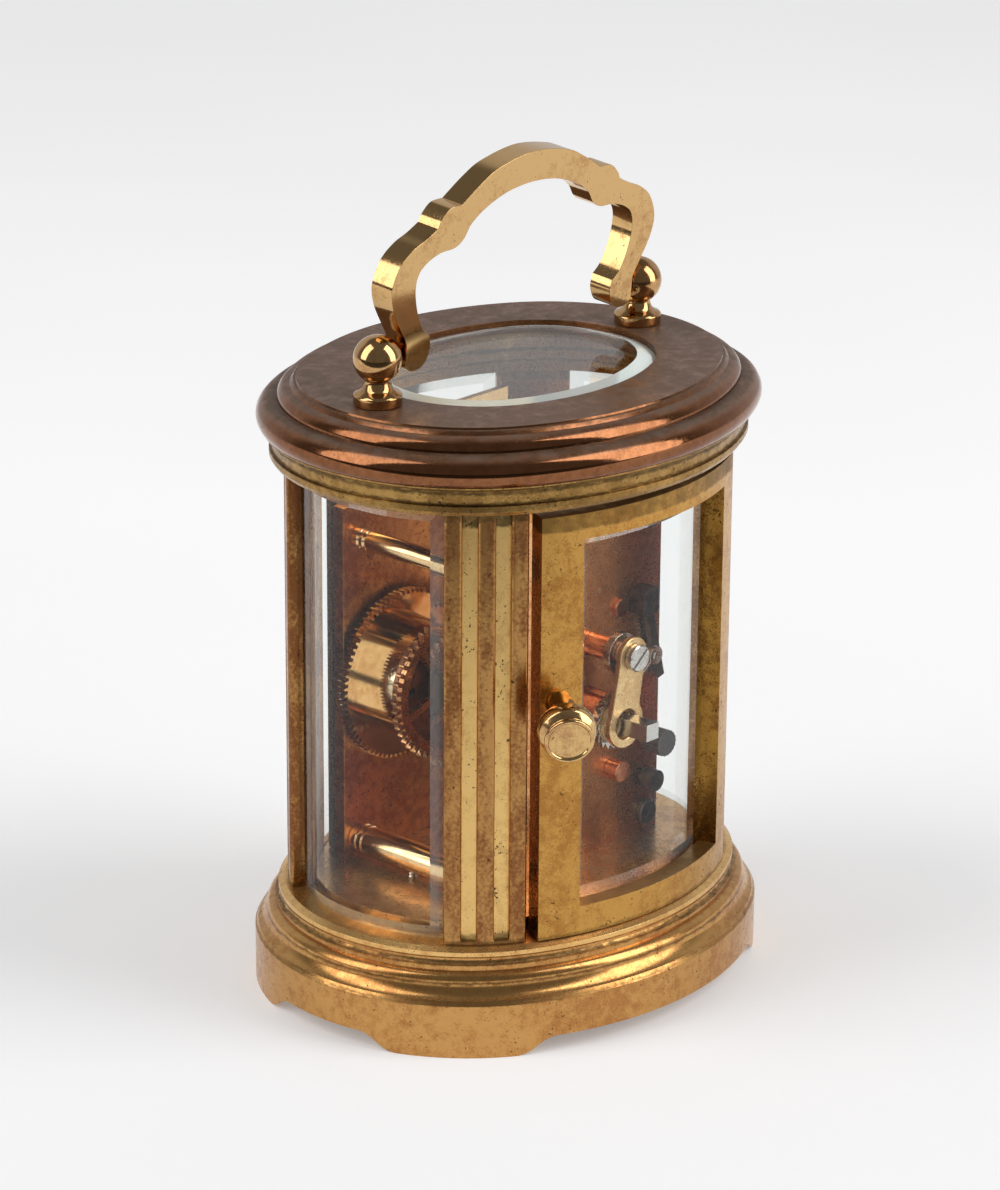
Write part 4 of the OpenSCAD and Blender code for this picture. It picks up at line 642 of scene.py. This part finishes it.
def footHeight(x, y):
    # lower edge of the skirt: feet at the corners between two long cut-outs
    halfX, halfY, high, step = case["footCut"]

    def rise(along, half):
        t = (half - abs(along)) / step
        if t <= 0:
            return 0.0
        if t >= 1:
            return high
        return high * (2 * t * t if t < 0.5 else 1 - 2 * (1 - t) ** 2)

    return max(rise(x, halfX), rise(y, halfY))


def makePlinth():
    skirt, inner = case["skirt"], -case["wall"] - 0.1
    outside = profilePoints(case["plinth"])
    section = [(skirt, case["floor"]), (skirt, footHeight), (outside[0][0], footHeight)] + outside
    section += [(inner, case["ledge"]), (inner, case["seat"])]
    loops = [ovalLoop(case["oval"], out, z) for out, z in section]
    mesh = moulding("plinthMoulding", loops, capFirst=True, capLast=True)

    # faces above the torus take the lighter ledge brass, a painted highlight
    def zone(at, facing):
        if at.z > case["ledge"] + 0.2 or (facing.z < -0.9 and at.z > 5):
            return 1
        return 2 if at.z > case["torus"] else 0

    newPiece("plinthMoulding", painted(mesh, zone), ["plinth", "caseFloor", "ledge"], "base_plinth")


def makeCornice():
    oval, wall, top = case["oval"], case["wall"], case["top"]
    section = [(-wall, case["corniceFoot"])] + profilePoints(case["cornice"])
    seat, rebate, under = top - case["glassDeep"], case["rebate"], top - case["lid"]
    recess = [(0, top), (0, seat), (-rebate, seat), (-rebate, under)]
    loops = [ovalLoop(oval, out, z) for out, z in section]
    loops += [ovalLoop(case["glassOval"], out, z) for out, z in recess]
    mesh = moulding("corniceMoulding", loops + [ovalLoop(oval, -wall, under)], ring=True)
    painted(mesh, lambda at, facing: 1 if at.z < case["zones"] else 0)
    newPiece("corniceMoulding", mesh, ["cornice", "cavetto"], "cornice")


def makeTopGlass():
    loops = [ovalLoop(case["glassOval"], out, case["top"] + z) for out, z in case["glassRim"]]
    mesh = meshOf(tidied(meshFromLoops(loops, capFirst=True, capLast=True)), "topGlass", 8)

    # the bevel faces take pale glass, a painted reflection
    def edgeOrBevel(at, facing):
        if abs(facing.z) < 0.5:
            return 1
        return 2 if 0.5 < facing.z < 0.99 else 0

    newPiece("topGlass", painted(mesh, edgeOrBevel), ["glass", "groundEdge", "bevelPaintedReflection"], "top_glass")


makePlinth()
makeCornice()
makeTopGlass()
print("mouldings made")

# Reeded corner pillars; angles in degrees on the end circle of the oval, lengths in mm
pillar = {
    "start": 34.9,
    "reed": 5.7,
    "recess": 4.6,
    "deep": 0.55,
    "recessFace": (20.2, 20.75),  # radii between which the floor of a recess lies
    "rounding": 0.42,
    "band": 0.4,  # plain height at the ends of a recess
    "groove": (18.05, 19.75, 36.5),  # radii and end angle of the groove for the side glass
    "frontGroove": (31.3, 33.0, 30.9),  # the same for the front glass, from the middle of the side
    "foot": 12.2,
    "top": 63.8,
}
pillar["last"] = pillar["start"] + 3 * pillar["reed"] + 2 * pillar["recess"]


def pillarOutline(front, banded):
    endX, sideY, _ = ovalCentres(case["oval"])
    radius = case["oval"][2]
    last = pillar["last"]
    floor = radius - pillar["deep"]
    inner = radius - case["wall"]

    def at(a, r):
        return onCircle(endX, 0, r, a)

    def onSide(r):
        # radius on the end circle where the pillar's last face meets a circle about the side's centre
        c, s = math.cos(rad(last)), math.sin(rad(last))
        half = endX * c + sideY * s
        return -half + math.sqrt(half * half - endX ** 2 - sideY ** 2 + r * r)

    points = []
    low, high, end = pillar["groove"]
    start = pillar["start"]
    points += [at(start, inner), at(start, low), at(end, low), at(end, high), at(start, high)]
    for i in range(3):
        start = pillar["start"] + i * (pillar["reed"] + pillar["recess"])
        stop = start + pillar["reed"]
        corner = [(pillar["rounding"] * (1 - math.cos(rad(t))), pillar["rounding"] * math.sin(rad(t)))
                  for t in (0, 18, 36, 54, 72, 90)]
        low = 0 if i == 0 or not banded else 1
        high = 0 if i == 2 or not banded else 1
        foot = [(start, floor if not low else radius)]
        foot += [(start + math.degrees(x / radius), radius if low else radius - pillar["rounding"] + y)
                 for x, y in corner]
        flat = [(start + pillar["reed"] * k / 6, radius) for k in (2, 3, 4)]
        tail = [(stop - math.degrees(x / radius), radius if high else radius - pillar["rounding"] + y)
                for x, y in reversed(corner)] + [(stop, floor if not high else radius)]
        points += [at(a, r) for a, r in foot + flat + tail]
        if i < 2:
            points += [at(stop + pillar["recess"] * k / 5, radius if banded else floor) for k in (1, 2, 3, 4)]
    if front:
        close, far, reach = pillar["frontGroove"]
        points += [at(last, onSide(far))]
        points += [onCircle(0, -sideY, r, 90 - reach) for r in (far, close)]
        points += [at(last, onSide(close))]
    points += [at(last - (last - pillar["start"]) * k / 12, inner) for k in range(12)]
    return points


def makePillars():
    foot, top, band, last = (pillar[word] for word in ("foot", "top", "band", "last"))

    def isRecess(at, facing):
        x, y = abs(at.x) - ovalCentres(case["oval"])[0], abs(at.y)
        angle = math.degrees(math.atan2(y, x))
        inside = pillar["start"] + pillar["reed"] - 0.1 < angle < last - pillar["reed"] + 0.1
        low, high = pillar["recessFace"]
        return 1 if inside and low < math.hypot(x, y) < high else 0

    for side, word in ((-1, "front"), (1, "rear")):
        for hand, name in ((1, "left"), (-1, "right")):
            node = f"pillar_{word}_{name}"
            rows = [(foot, True), (foot + band, True), (foot + band + 0.12, False),
                    (top - band - 0.12, False), (top - band, True), (top, True)]
            loops = [[(hand * x, side * y, z) for x, y in pillarOutline(side < 0, banded)]
                     for z, banded in rows]
            mesh = softened(meshFromLoops(loops, capFirst=True, capLast=True), node, 0.03, 1, 32)
            painted(mesh, isRecess)
            newPiece("reeded_" + node, mesh, ["reed", "recess"], node)


# Curved glasses with a bevel on all four edges; lengths in mm
curved = {
    "thick": 1.6,
    "bevel": 2.2,
    "deep": 0.7,
    "step": 1.0,  # degrees from one column of the mesh to the next
    "heights": (11.65, 64.35),
    "side": (19.7, 36.5),  # radius and half angle
    "front": (32.95, 30.9),
    "door": (32.45, 19.59, 22.15),  # radius, angles of the opening towards the knob and the hinge
    "doorLap": 1.32,
    "doorHeights": (15.0, 60.5),
}


def curvedGlass(name, node, centre, radius, halfAngle, turn, z0, z1):
    wide = math.degrees(curved["bevel"] / radius)
    count = max(6, round(2 * (halfAngle - wide) / curved["step"]))
    angles = [-halfAngle + wide + (2 * halfAngle - 2 * wide) * i / count for i in range(count + 1)]
    angles = [-halfAngle] + angles + [halfAngle]
    heights = [z0, z0 + curved["bevel"], z1 - curved["bevel"], z1]
    bm = bmesh.new()

    def grid(outside):
        rows = []
        for j, z in enumerate(heights):
            row = []
            for i, a in enumerate(angles):
                edge = i in (0, len(angles) - 1) or j in (0, 3)
                r = radius - curved["thick"] if not outside else radius - (curved["deep"] if edge else 0)
                row.append(bm.verts.new(Vector((*onCircle(*centre, r, turn + a), z)) * mm))
            rows.append(row)
        return rows

    front, back = grid(True), grid(False)
    last = len(angles) - 1
    for rows in (front, back):
        for j in range(3):
            for i in range(last):
                quad = [rows[j][i], rows[j][i + 1], rows[j + 1][i + 1], rows[j + 1][i]]
                if j != 1 and i in (0, last - 1):
                    # a bevelled corner is split along its mitre
                    k = 0 if (j == 0) == (i == 0) else 1
                    bm.faces.new((quad[k], quad[k + 1], quad[k + 2]))
                    bm.faces.new((quad[k], quad[k + 2], quad[(k + 3) % 4]))
                else:
                    bm.faces.new(quad)
    for i in range(last):
        for j in (0, 3):
            bm.faces.new((front[j][i], front[j][i + 1], back[j][i + 1], back[j][i]))
    for j in range(3):
        for i in (0, last):
            bm.faces.new((front[j][i], front[j + 1][i], back[j + 1][i], back[j][i]))

    # the bevel slopes take pale glass, a painted reflection
    def sloping(at, facing):
        deep = radius - math.hypot(at.x - centre[0], at.y - centre[1])
        return 1 if 0.1 < deep < curved["deep"] - 0.08 else 0

    newPiece(name, painted(meshOf(tidied(bm), name, 8), sloping), ["glass", "slopePaintedReflection"], node)


def makeGlasses():
    endX, sideY, _ = ovalCentres(case["oval"])
    curvedGlass("sideGlassLeft", "side_glass_left", (endX, 0), *curved["side"], 0, *curved["heights"])
    curvedGlass("sideGlassRight", "side_glass_right", (-endX, 0), *curved["side"], 180, *curved["heights"])
    curvedGlass("frontGlass", "front_glass", (0, sideY), *curved["front"], 270, *curved["heights"])
    # the opening of the door reaches further to the hinge than to the knob
    radius, knobSide, hingeSide = curved["door"]
    half = (knobSide + hingeSide) / 2 + curved["doorLap"]
    turn = 90 + (hingeSide - knobSide) / 2
    curvedGlass("doorGlass", "door_glass", (0, -sideY), radius, half, turn, *curved["doorHeights"])


makePillars()
makeGlasses()


# Opening of the door and the rebate behind it, about the centre of the side's arc
opening = {
    "within": 34.55,  # radius in mm
    "angles": (-24.5, 22),  # degrees
    "heights": (14.6, 61),
}


# faces inside the door's opening, which take the painted shade of the reveal
def inOpening(at, facing):
    y = at.y + ovalCentres(case["oval"])[1]
    left, right = opening["angles"]
    low, high = opening["heights"]
    inside = left < math.degrees(math.atan2(at.x, y)) < right and low < at.z < high
    return 1 if inside and math.hypot(at.x, y) < opening["within"] else 0


easedCopy("door_frame", 0.16, 3, 30, ["door", "reveal"], inOpening)
easedCopy("hinge_pins", 0.05, 2, 32, "brass_bright")
print("pillars, glasses and door made")

# Handle: half of its outline across and up from the pivots, in mm
handle = {
    "centre": (0, 0, 78.16),
    "lean": 5.1,  # degrees to the back
    "thick": 3.05,
    "half": 19.0,
    "edge": 0.34,
    "pin": [(0, 18.3), (0.6, 18.3), (0.6, 21.1), (0.5, 21.2), (0, 21.2)],  # radius, distance from the middle
    "bow": [(0, 20.2), (5.5, 19.37), (8.4, 18.1), (11.5, 16.15)],
    "scroll": [(11.5, 16.15), (13.4, 16.05), (14.7, 15), (15.2, 14.1)],
    "shoulder": [(15.2, 14.1), (17, 13.2), (19, 12.4), (20.9, 10.9), (22, 8.4), (21.6, 6), (20.1, 3.3),
                 (19.4, 2.2), (19, 1.3)],
    "foot": [(19, -1.2), (18.4, -1.75), (17.2, -1.95), (15.9, -1.4), (15.15, 0.2), (15.4, 1.7)],
    "inside": [(15.4, 1.7), (16.6, 2.8), (17.5, 4.6), (18.15, 7.3), (17.85, 9.25), (16.6, 10.4),
               (14.5, 11.15), (12.2, 11.3), (10.8, 12.1), (9.7, 13.6), (7.5, 15), (4, 16.2), (0, 16.6)],
}


def smoothThrough(points, steps):
    # smooth curve through the points, level where it starts or ends on the middle line
    def beyond(end, neighbour):
        return (-neighbour[0], neighbour[1]) if end[0] == 0 else end

    result = []
    last = len(points) - 1
    for i in range(last):
        b, c = points[i], points[i + 1]
        a = points[i - 1] if i else beyond(b, c)
        d = points[i + 2] if i + 2 <= last else beyond(c, b)
        for j in range(steps):
            t = j / steps
            point = []
            for k in (0, 1):
                bend = 2 * a[k] - 5 * b[k] + 4 * c[k] - d[k]
                twist = 3 * b[k] - a[k] - 3 * c[k] + d[k]
                point.append(b[k] + t / 2 * ((c[k] - a[k]) + t * (bend + t * twist)))
            result.append(tuple(point))
    return result + [points[last]]


def makeHandle():
    scale = (post["across"] - post["ball"][1] - 0.2) / handle["half"]
    half = []
    for part in ("bow", "scroll", "shoulder", "foot", "inside"):
        run = smoothThrough(handle[part], 16)
        half += run[1:] if half and run[0] == half[-1] else run
    right = [(x * scale, z) for x, z in half]
    outline = right + [(-x, z) for x, z in reversed(right[1:-1])]
    place = upAt(*handle["centre"]) @ Matrix.Rotation(rad(-handle["lean"]), 4, "X")
    sides = [[(x, y, z) for x, z in outline] for y in (-handle["thick"] / 2, handle["thick"] / 2)]
    bow = meshFromLoops(sides, capFirst=True, capLast=True)
    bmesh.ops.transform(bow, matrix=place, verts=bow.verts)
    pins = [turned(handle["pin"], place @ Matrix.Rotation(rad(90 * side), 4, "Y"), 32) for side in (-1, 1)]
    mesh = easedMesh(joined(bow, *pins), "handleBow", handle["edge"], 4, 38)
    newPiece("handleBow", mesh, "handle", "handle")


# Posts of the handle, each with a ball; profile as (radius, height over the top)
post = {
    "across": 21.95,
    "top": 73.0,
    "profile": [(0, -2.4), (1.1, -2.4), (1.1, 0), (2.6, 0), (2.75, 0.18), (2.75, 1.15), (2.55, 1.38),
                (1.95, 1.65), (1.65, 2.0), (1.47, 2.5)],
    "ball": (5.16, 2.75),
}


def makePosts():
    high, radius = post["ball"]
    start = math.degrees(math.asin(1.45 / radius))
    ball = arc(0, high, radius, -90 + start, 90, 28)
    ball[-1] = (0, high + radius)
    both = joined(*[turned(post["profile"] + ball, upAt(side * post["across"], 0, post["top"]), 72)
                    for side in (-1, 1)])
    newPiece("handlePosts", easedMesh(both, "handlePosts", 0.06, 2, 40), "post", "handle_posts")


# Door knob: profile as (radius, distance from the door)
knob = {
    "foot": (14.2, 20.467, 41.0),
    "turn": 49.5,
    "droop": 13.0,
    "profile": [(0, -1.1), (1.25, -1.1), (1.25, 0.6), (1.55, 0.75), (1.55, 3.2), (2.25, 3.35), (2.35, 3.6),
                (2.25, 3.9), (1.85, 4.1), (2.7, 4.4), (3.1, 4.7), (3.25, 5.15), (3.25, 6.0), (3.15, 6.35),
                (2.8, 6.75), (2.5, 7.03), (2.62, 7.25), (2.8, 7.37), (2.82, 7.65), (2.7, 7.87), (2.45, 7.87),
                (2.25, 7.63), (0, 7.61)],
}


def makeKnob():
    place = upAt(*knob["foot"]) @ Matrix.Rotation(rad(knob["turn"]), 4, "Z")
    place = place @ Matrix.Rotation(rad(90 + knob["droop"]), 4, "Y")
    mesh = softened(turned(knob["profile"], place, 96), "doorKnob", 0.09, 3, 24)
    newPiece("doorKnob", mesh, "knob", "door_knob")


makeHandle()
makePosts()
makeKnob()
print("handle, posts and knob made")


def setInputs(modifier, values):
    # the group's inputs are set by their identifiers
    for socket in modifier.node_group.interface.items_tree:
        if socket.item_type == "SOCKET" and socket.in_out == "INPUT" and socket.name in values:
            modifier[socket.identifier] = values[socket.name]


def grown(name, group, values, mesh=None):
    # a plain mesh from a Geometry Nodes group
    def grow(holder):
        modifier = holder.modifiers.new(name, "NODES")
        modifier.node_group = group
        setInputs(modifier, values)

    return applied(mesh or bpy.data.meshes.new(name), grow)


def partObject(name, bm):
    # a shape that a group repeats; it is taken away when the group has been applied
    return newObject(name, meshOf(tidied(bm), name, 30))


def setOnPoints(t, given, out, points, rotation):
    # the part on each point, turned, made real and given its material
    part = t.node("GeometryNodeObjectInfo", Object=given["Part"])
    placed = t.node("GeometryNodeInstanceOnPoints", Points=points, Instance=part.outputs["Geometry"],
                    Rotation=rotation)
    real = t.node("GeometryNodeRealizeInstances", Geometry=placed.outputs[0])
    done = t.node("GeometryNodeSetMaterial", Geometry=real.outputs[0], Material=given["Material"])
    t.fill(out, Geometry=done.outputs[0])


def makeRepeatGroup():
    # repeats a part round the Z axis, turned with it
    group, t, given, out = makeGroup(
        "repeatAround", "GeometryNodeTree",
        [("Count", "Int", 12), ("Radius", "Float", 0.01), ("Part", "Object", None),
         ("Material", "Material", None)],
        [("Geometry", "Geometry")])
    ring = t.node("GeometryNodeMeshCircle", Vertices=given["Count"], Radius=given["Radius"])
    facing = t.node("FunctionNodeAlignRotationToVector", {"axis": "X", "pivot_axis": "Z"},
                    Vector=t.node("GeometryNodeInputPosition").outputs[0])
    setOnPoints(t, given, out, ring.outputs[0], facing.outputs[0])
    return group


def makeScrewGroup():
    # sets a screw at each point along its own direction, its slot left at a random turn
    group, t, given, out = makeGroup(
        "setScrews", "GeometryNodeTree",
        [("Geometry", "Geometry", None), ("Part", "Object", None), ("Seed", "Int", 3),
         ("Material", "Material", None)],
        [("Geometry", "Geometry")])
    direction = t.node("GeometryNodeInputNamedAttribute", {"data_type": "FLOAT_VECTOR"}, Name="facing")
    facing = t.node("FunctionNodeAlignRotationToVector", {"axis": "Z"}, Vector=direction.outputs["Attribute"])
    spin = t.node("FunctionNodeRandomValue", {"data_type": "FLOAT"}, Seed=given["Seed"])
    spin.inputs[2].default_value, spin.inputs[3].default_value = 0.0, 2 * math.pi
    angle = next(o for o in spin.outputs if o.enabled and o.type == "VALUE")
    roll = t.node("FunctionNodeAxisAngleToRotation", Axis=(0, 0, 1), Angle=angle)
    both = t.node("FunctionNodeRotateRotation", {"rotation_space": "LOCAL"}, Rotation=facing.outputs[0])
    t.feed(both.inputs["Rotate By"], roll.outputs[0])
    setOnPoints(t, given, out, given["Geometry"], both.outputs[0])
    return group


repeatAround = makeRepeatGroup()
setScrews = makeScrewGroup()

# Slotted screws, in mm: head radius, head height, shank radius, shank length below the head
screws = {
    "slotWide": 0.34,
    "slotDeep": 0.34,
    "steps": 40,
    "bridgeSeat": 14.9,  # outer face of the click bridge
    "sets": {
        "plate_screws": dict(head=(1.5, 0.8), shank=(0.58, 3.4), finish="steel_dark", seed=4),
        "bridge_screw": dict(head=(1.6, 1.0), shank=(0.63, 2.7), finish="steel_bright", seed=11),
        "platform_screws": dict(head=(0.9, 0.6), shank=(0.43, 2.4), finish="steel_dark", seed=7),
        "case_screws": dict(head=(1.6, 0.8), shank=(0.73, 7.4), finish="steel_dark", seed=5),
        "movement_screws": dict(head=(1.6, 0.8), shank=(0.53, 8.3), finish="steel_bright", seed=9,
                                pitch=0.32),
    },
}


def screwShape(head, shank, pitch=None):
    # a screw standing with the underside of its head at the origin
    headR, headH = head
    shankR, shankL = shank
    profile = [(0, -shankL), (shankR - 0.12, -shankL), (shankR, -shankL + 0.12)]
    if pitch:
        # the crests of the thread, as rings
        crests = int((shankL - 1.0) / pitch)
        for i in range(crests):
            z = -shankL + 0.3 + i * pitch
            root = shankR - 0.09
            profile += [(root, z), (shankR, z + pitch * 0.35), (shankR, z + pitch * 0.55),
                        (root, z + pitch * 0.9)]
    profile += [(shankR, -0.25), (shankR, 0), (headR - 0.12, 0), (headR, 0.12), (headR, headH - 0.16),
                (headR - 0.14, headH - 0.02), (headR * 0.5, headH), (0, headH)]
    body = tidied(turned(profile, Matrix.Identity(4), screws["steps"]))
    cutter = bmesh.new()
    bmesh.ops.create_cube(cutter, size=1, matrix=Matrix.Translation((0, 0, headH * mm)) @ Matrix.Diagonal(
        (3 * headR * mm, screws["slotWide"] * mm, 2 * screws["slotDeep"] * mm, 1)))
    tool = newObject("slotCutter", plainMesh(cutter, "slotCutter"))

    def slot(holder):
        cut = holder.modifiers.new("slot", "BOOLEAN")
        cut.operation = "DIFFERENCE"
        cut.solver = "EXACT"
        cut.object = tool

    mesh = applied(meshOf(body, "screw", 30), slot)
    bpy.data.objects.remove(tool)
    return shapeOf(mesh)


def screwPlaces(node, head):
    # the middle of each head's underside and the way that the head looks
    headR, headH = head
    low, high = (Vector(c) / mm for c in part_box(node))
    if node == "bridge_screw":
        at = middle(node)
        return [((at.x, screws["bridgeSeat"], at.z), (0, 1, 0))]
    acrossX = (low.x + headR, high.x - headR)
    if node == "plate_screws":
        ends = ((low.y + headH, -1), (high.y - headH, 1))
        return [((x, y, z), (0, way, 0)) for x in acrossX for z in (low.z + headR, high.z - headR)
                for y, way in ends]
    if node == "platform_screws":
        return [((x, y, high.z - headH), (0, 0, 1)) for x in acrossX for y in (low.y + headR, high.y - headR)]
    across = sorted({round(y, 3) for y in (low.y + headR, high.y - headR)})
    return [((x, y, low.z + headH), (0, 0, -1)) for x in acrossX for y in across]


def makeScrews():
    for node, look in screws["sets"].items():
        part = partObject("screwPart", screwShape(look["head"], look["shank"], look.get("pitch")))
        places = screwPlaces(node, look["head"])
        points = bpy.data.meshes.new("screwPoints")
        points.from_pydata([tuple(v * mm for v in at) for at, way in places], [], [])
        facing = points.attributes.new("facing", "FLOAT_VECTOR", "POINT")
        for i, (at, way) in enumerate(places):
            facing.data[i].vector = way
        values = {"Part": part, "Seed": look["seed"], "Material": materials[look["finish"]]}
        mesh = grown("setScrews", setScrews, values, points)
        bpy.data.objects.remove(part)
        newPiece(node + "Slotted", mesh, look["finish"], node)


makeScrews()
print("screws made")

# Dial: heights and lengths in mm; numerals stand with their feet to the middle
dial = {
    "raised": 0.03,
    "numerals": ["I", "II", "III", "IIII", "V", "VI", "VII", "VIII", "IX", "X", "XI", "XII"],
    "ring": 9.7,
    "high": 2.6,
    "thick": 0.36,
    "thin": 0.14,
    "gap": 0.25,
    "advance": {"I": 0.8, "V": 1.75, "X": 1.75},
    "marks": [(60, 11.95, 0.5, 0.1), (12, 11.95, 0.62, 0.3)],  # count, radius, length, width
}


def stroke(bm, start, end, wide, place=Matrix.Identity(4)):
    # a raised bar from start to end
    a, b = Vector((*start, 0)), Vector((*end, 0))
    across = Vector((a.y - b.y, b.x - a.x, 0)).normalized() * wide / 2
    corners = (a - across, b - across, b + across, a + across)
    rows = [[bm.verts.new((place @ (corner + Vector((0, 0, z)))) * mm) for corner in corners]
            for z in (-0.01, dial["raised"])]
    bm.faces.new(reversed(rows[0]))
    bm.faces.new(rows[1])
    between(bm, *rows)


def numeral(bm, word, place):
    tall, thick, thin = dial["high"] / 2, dial["thick"], dial["thin"]
    x = -sum(dial["advance"][letter] for letter in word) / 2
    for letter in word:
        wide = dial["advance"][letter]
        left, right, mid = x + dial["gap"], x + wide - dial["gap"], x + wide / 2
        if letter == "I":
            stroke(bm, (mid, -tall), (mid, tall), thick, place)
        elif letter == "V":
            stroke(bm, (left, tall), (mid, -tall), thick, place)
            stroke(bm, (right, tall), (mid, -tall), thin, place)
        else:
            stroke(bm, (left, tall), (right, -tall), thick, place)
            stroke(bm, (right, tall), (left, -tall), thin, place)
        x += wide


def makeDial():
    marks = bmesh.new()
    for i, word in enumerate(dial["numerals"]):
        turn = Matrix.Rotation(rad(-30 * (i + 1)), 4, "Z")
        numeral(marks, word, turn @ Matrix.Translation((0, dial["ring"], 0)))
    for count, radius, long, wide in dial["marks"]:
        bar = bmesh.new()
        stroke(bar, (-long / 2, 0), (long / 2, 0), wide)
        part = partObject("markPart", bar)
        marks.from_mesh(grown("dialMarks", repeatAround, {
            "Count": count, "Radius": radius * mm, "Part": part, "Material": materials["dialInk"]}))
        bpy.data.objects.remove(part)
    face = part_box("dial")[0][1] / mm
    centre = middle("dial")
    upright = upAt(centre.x, face, centre.z) @ Matrix.Rotation(rad(90), 4, "X")
    bmesh.ops.transform(marks, matrix=upright, verts=marks.verts)
    plate = tidied(shapeOf(frame["nodes"]["dial"].data))
    marks.normal_update()
    addShape(plate, marks)
    whole = meshOf(plate, "dialFace", 30)
    painted(whole, lambda at, facing: 1 if at.y < face - 0.005 else 0)
    newPiece("dialFace", whole, ["enamel", "dialInk"], "dial")


makeDial()
print("dial made")

# Pieces eased from the solids: rounding in mm and finish
eased = {
    "front_plate": (0.15, "brass_plate"), "back_plate": (0.2, "back_plate_lacquer"),
    "dial_plate": (0.1, "dialPlate"), "platform": (0.1, "brass_plate"),
    "lower_plate_pillars": (0.05, "platePillar"), "upper_plate_pillars": (0.05, "platePillar"),
    "click_bridge": (0.12, "bridge"), "ratchet_washer": (0.06, "bridge"), "copper_bushes": (0.07, None),
    "barrel": (0.025, "drum"), "winding_gear": (0.025, "gearBrown"), "centre_wheel": (0.02, None),
    "third_wheel": (0.02, None), "crown_wheel": (0, None), "minute_wheel": (0.02, None),
    "hour_wheel": (0.02, None), "escape_wheel": (0.015, None), "cannon_pinion": (0.02, None),
    "barrel_arbor": (0.03, None), "winding_arbor": (0.03, None), "centre_arbor": (0.03, None),
    "set_arbor": (0.02, None), "balance": (0.05, "train_brass"), "mainspring": (0, None),
    "hairspring": (0, None),
}
for node in sorted(set(frame["nodes"]) - dressed):
    width, finish = eased.get(node, (0.05, None))
    easedCopy(node, width, 2, 32, finish)
print("solids eased")

# Studio: two tall soft boxes, a white table that ends in front of the clock, a white wall behind
studio = {
    "floorReach": 4.0,
    "tableEnd": 0.18,  # m from the clock to the table's edge, on the camera's side
    "floorColor": (0.80, 0.80, 0.81),
    "floorGlow": 0.22,
    "farGlow": 0.095,  # added behind the clock
    "wall": 0.6,
    "room": 0.17,
    "fill": 0.32,
    "boxes": [((0.716, -0.361, 0.597), 4.7), ((-0.431, 0.757, 0.493), 6.1)],  # direction, power
    "boxSize": (0.5, 1.08),
    "boxFar": 0.9,
}


def backdropFinish():
    material, t, shader = newMaterial("paperFloor")
    place = t.place()
    path = t.node("ShaderNodeLightPath").outputs
    forward = t.along(place, towards)
    # beyond the table's edge a mirror shows the dark room
    end = studio["tableEnd"]
    mirrored = t.product(path["Is Glossy Ray"], t.ramp(forward, end - 0.02, end + 0.02), 0.94)
    bright = t.math("SUBTRACT", 1.0, mirrored)
    soft = t.ramp(t.noise(place, 7, 2, 0.5), 0.3, 0.7, 0.97, 1.0)
    paper = t.mix(t.product(bright, soft), (0, 0, 0), studio["floorColor"])
    through = t.math("MAXIMUM", path["Is Glossy Ray"], path["Is Transmission Ray"])
    seen = t.math("MAXIMUM", path["Is Camera Ray"], through)
    glow = t.math("ADD", studio["floorGlow"], t.ramp(forward, -0.2, 0.06, studio["farGlow"], 0.0))
    t.fill(shader.inputs, Base_Color=paper, Roughness=0.9, Specular_IOR_Level=0.1, Emission_Color=(1, 1, 1),
           Emission_Strength=t.product(seen, bright, glow))
    return material


def makeWorld():
    world = bpy.data.worlds.new("studioWorld")
    scene.world = world
    world.use_nodes = True
    t = Tree(world.node_tree)
    back = world.node_tree.nodes["Background"].inputs
    way = t.node("ShaderNodeTexCoord").outputs["Generated"]
    up = t.node("ShaderNodeSeparateXYZ", Vector=way).outputs["Z"]
    behind = t.ramp(t.along(way, -towards), 0.15, 0.5)
    wall = t.product(behind, t.ramp(up, 0.6, 0.8, 1.0, 0.0))
    room = t.lerp(wall, studio["room"], studio["wall"])
    path = t.node("ShaderNodeLightPath").outputs
    strength = t.lerp(path["Is Glossy Ray"], studio["fill"], room)
    seen = t.math("MAXIMUM", path["Is Camera Ray"], path["Is Transmission Ray"])
    t.fill(back, Color=(1, 1, 1), Strength=t.lerp(seen, strength, 0.9))


def makeStudio():
    bm = bmesh.new()
    bmesh.ops.create_circle(bm, cap_ends=True, radius=studio["floorReach"], segments=64)
    floor = newObject("floor", plainMesh(bm, "floor"))
    floor.data.materials.append(backdropFinish())
    makeWorld()
    for i, (way, power) in enumerate(studio["boxes"]):
        data = bpy.data.lights.new(f"softBox{i}", "AREA")
        data.shape = "RECTANGLE"
        (data.size, data.size_y), data.energy = studio["boxSize"], power
        lamp = newObject(f"softBox{i}", data)
        lamp.location = Vector(way) * studio["boxFar"] + Vector((0, 0, 0.04))
        lamp.rotation_euler = (-Vector(way)).to_track_quat("-Z", "Y").to_euler()


makeStudio()
print("studio made")
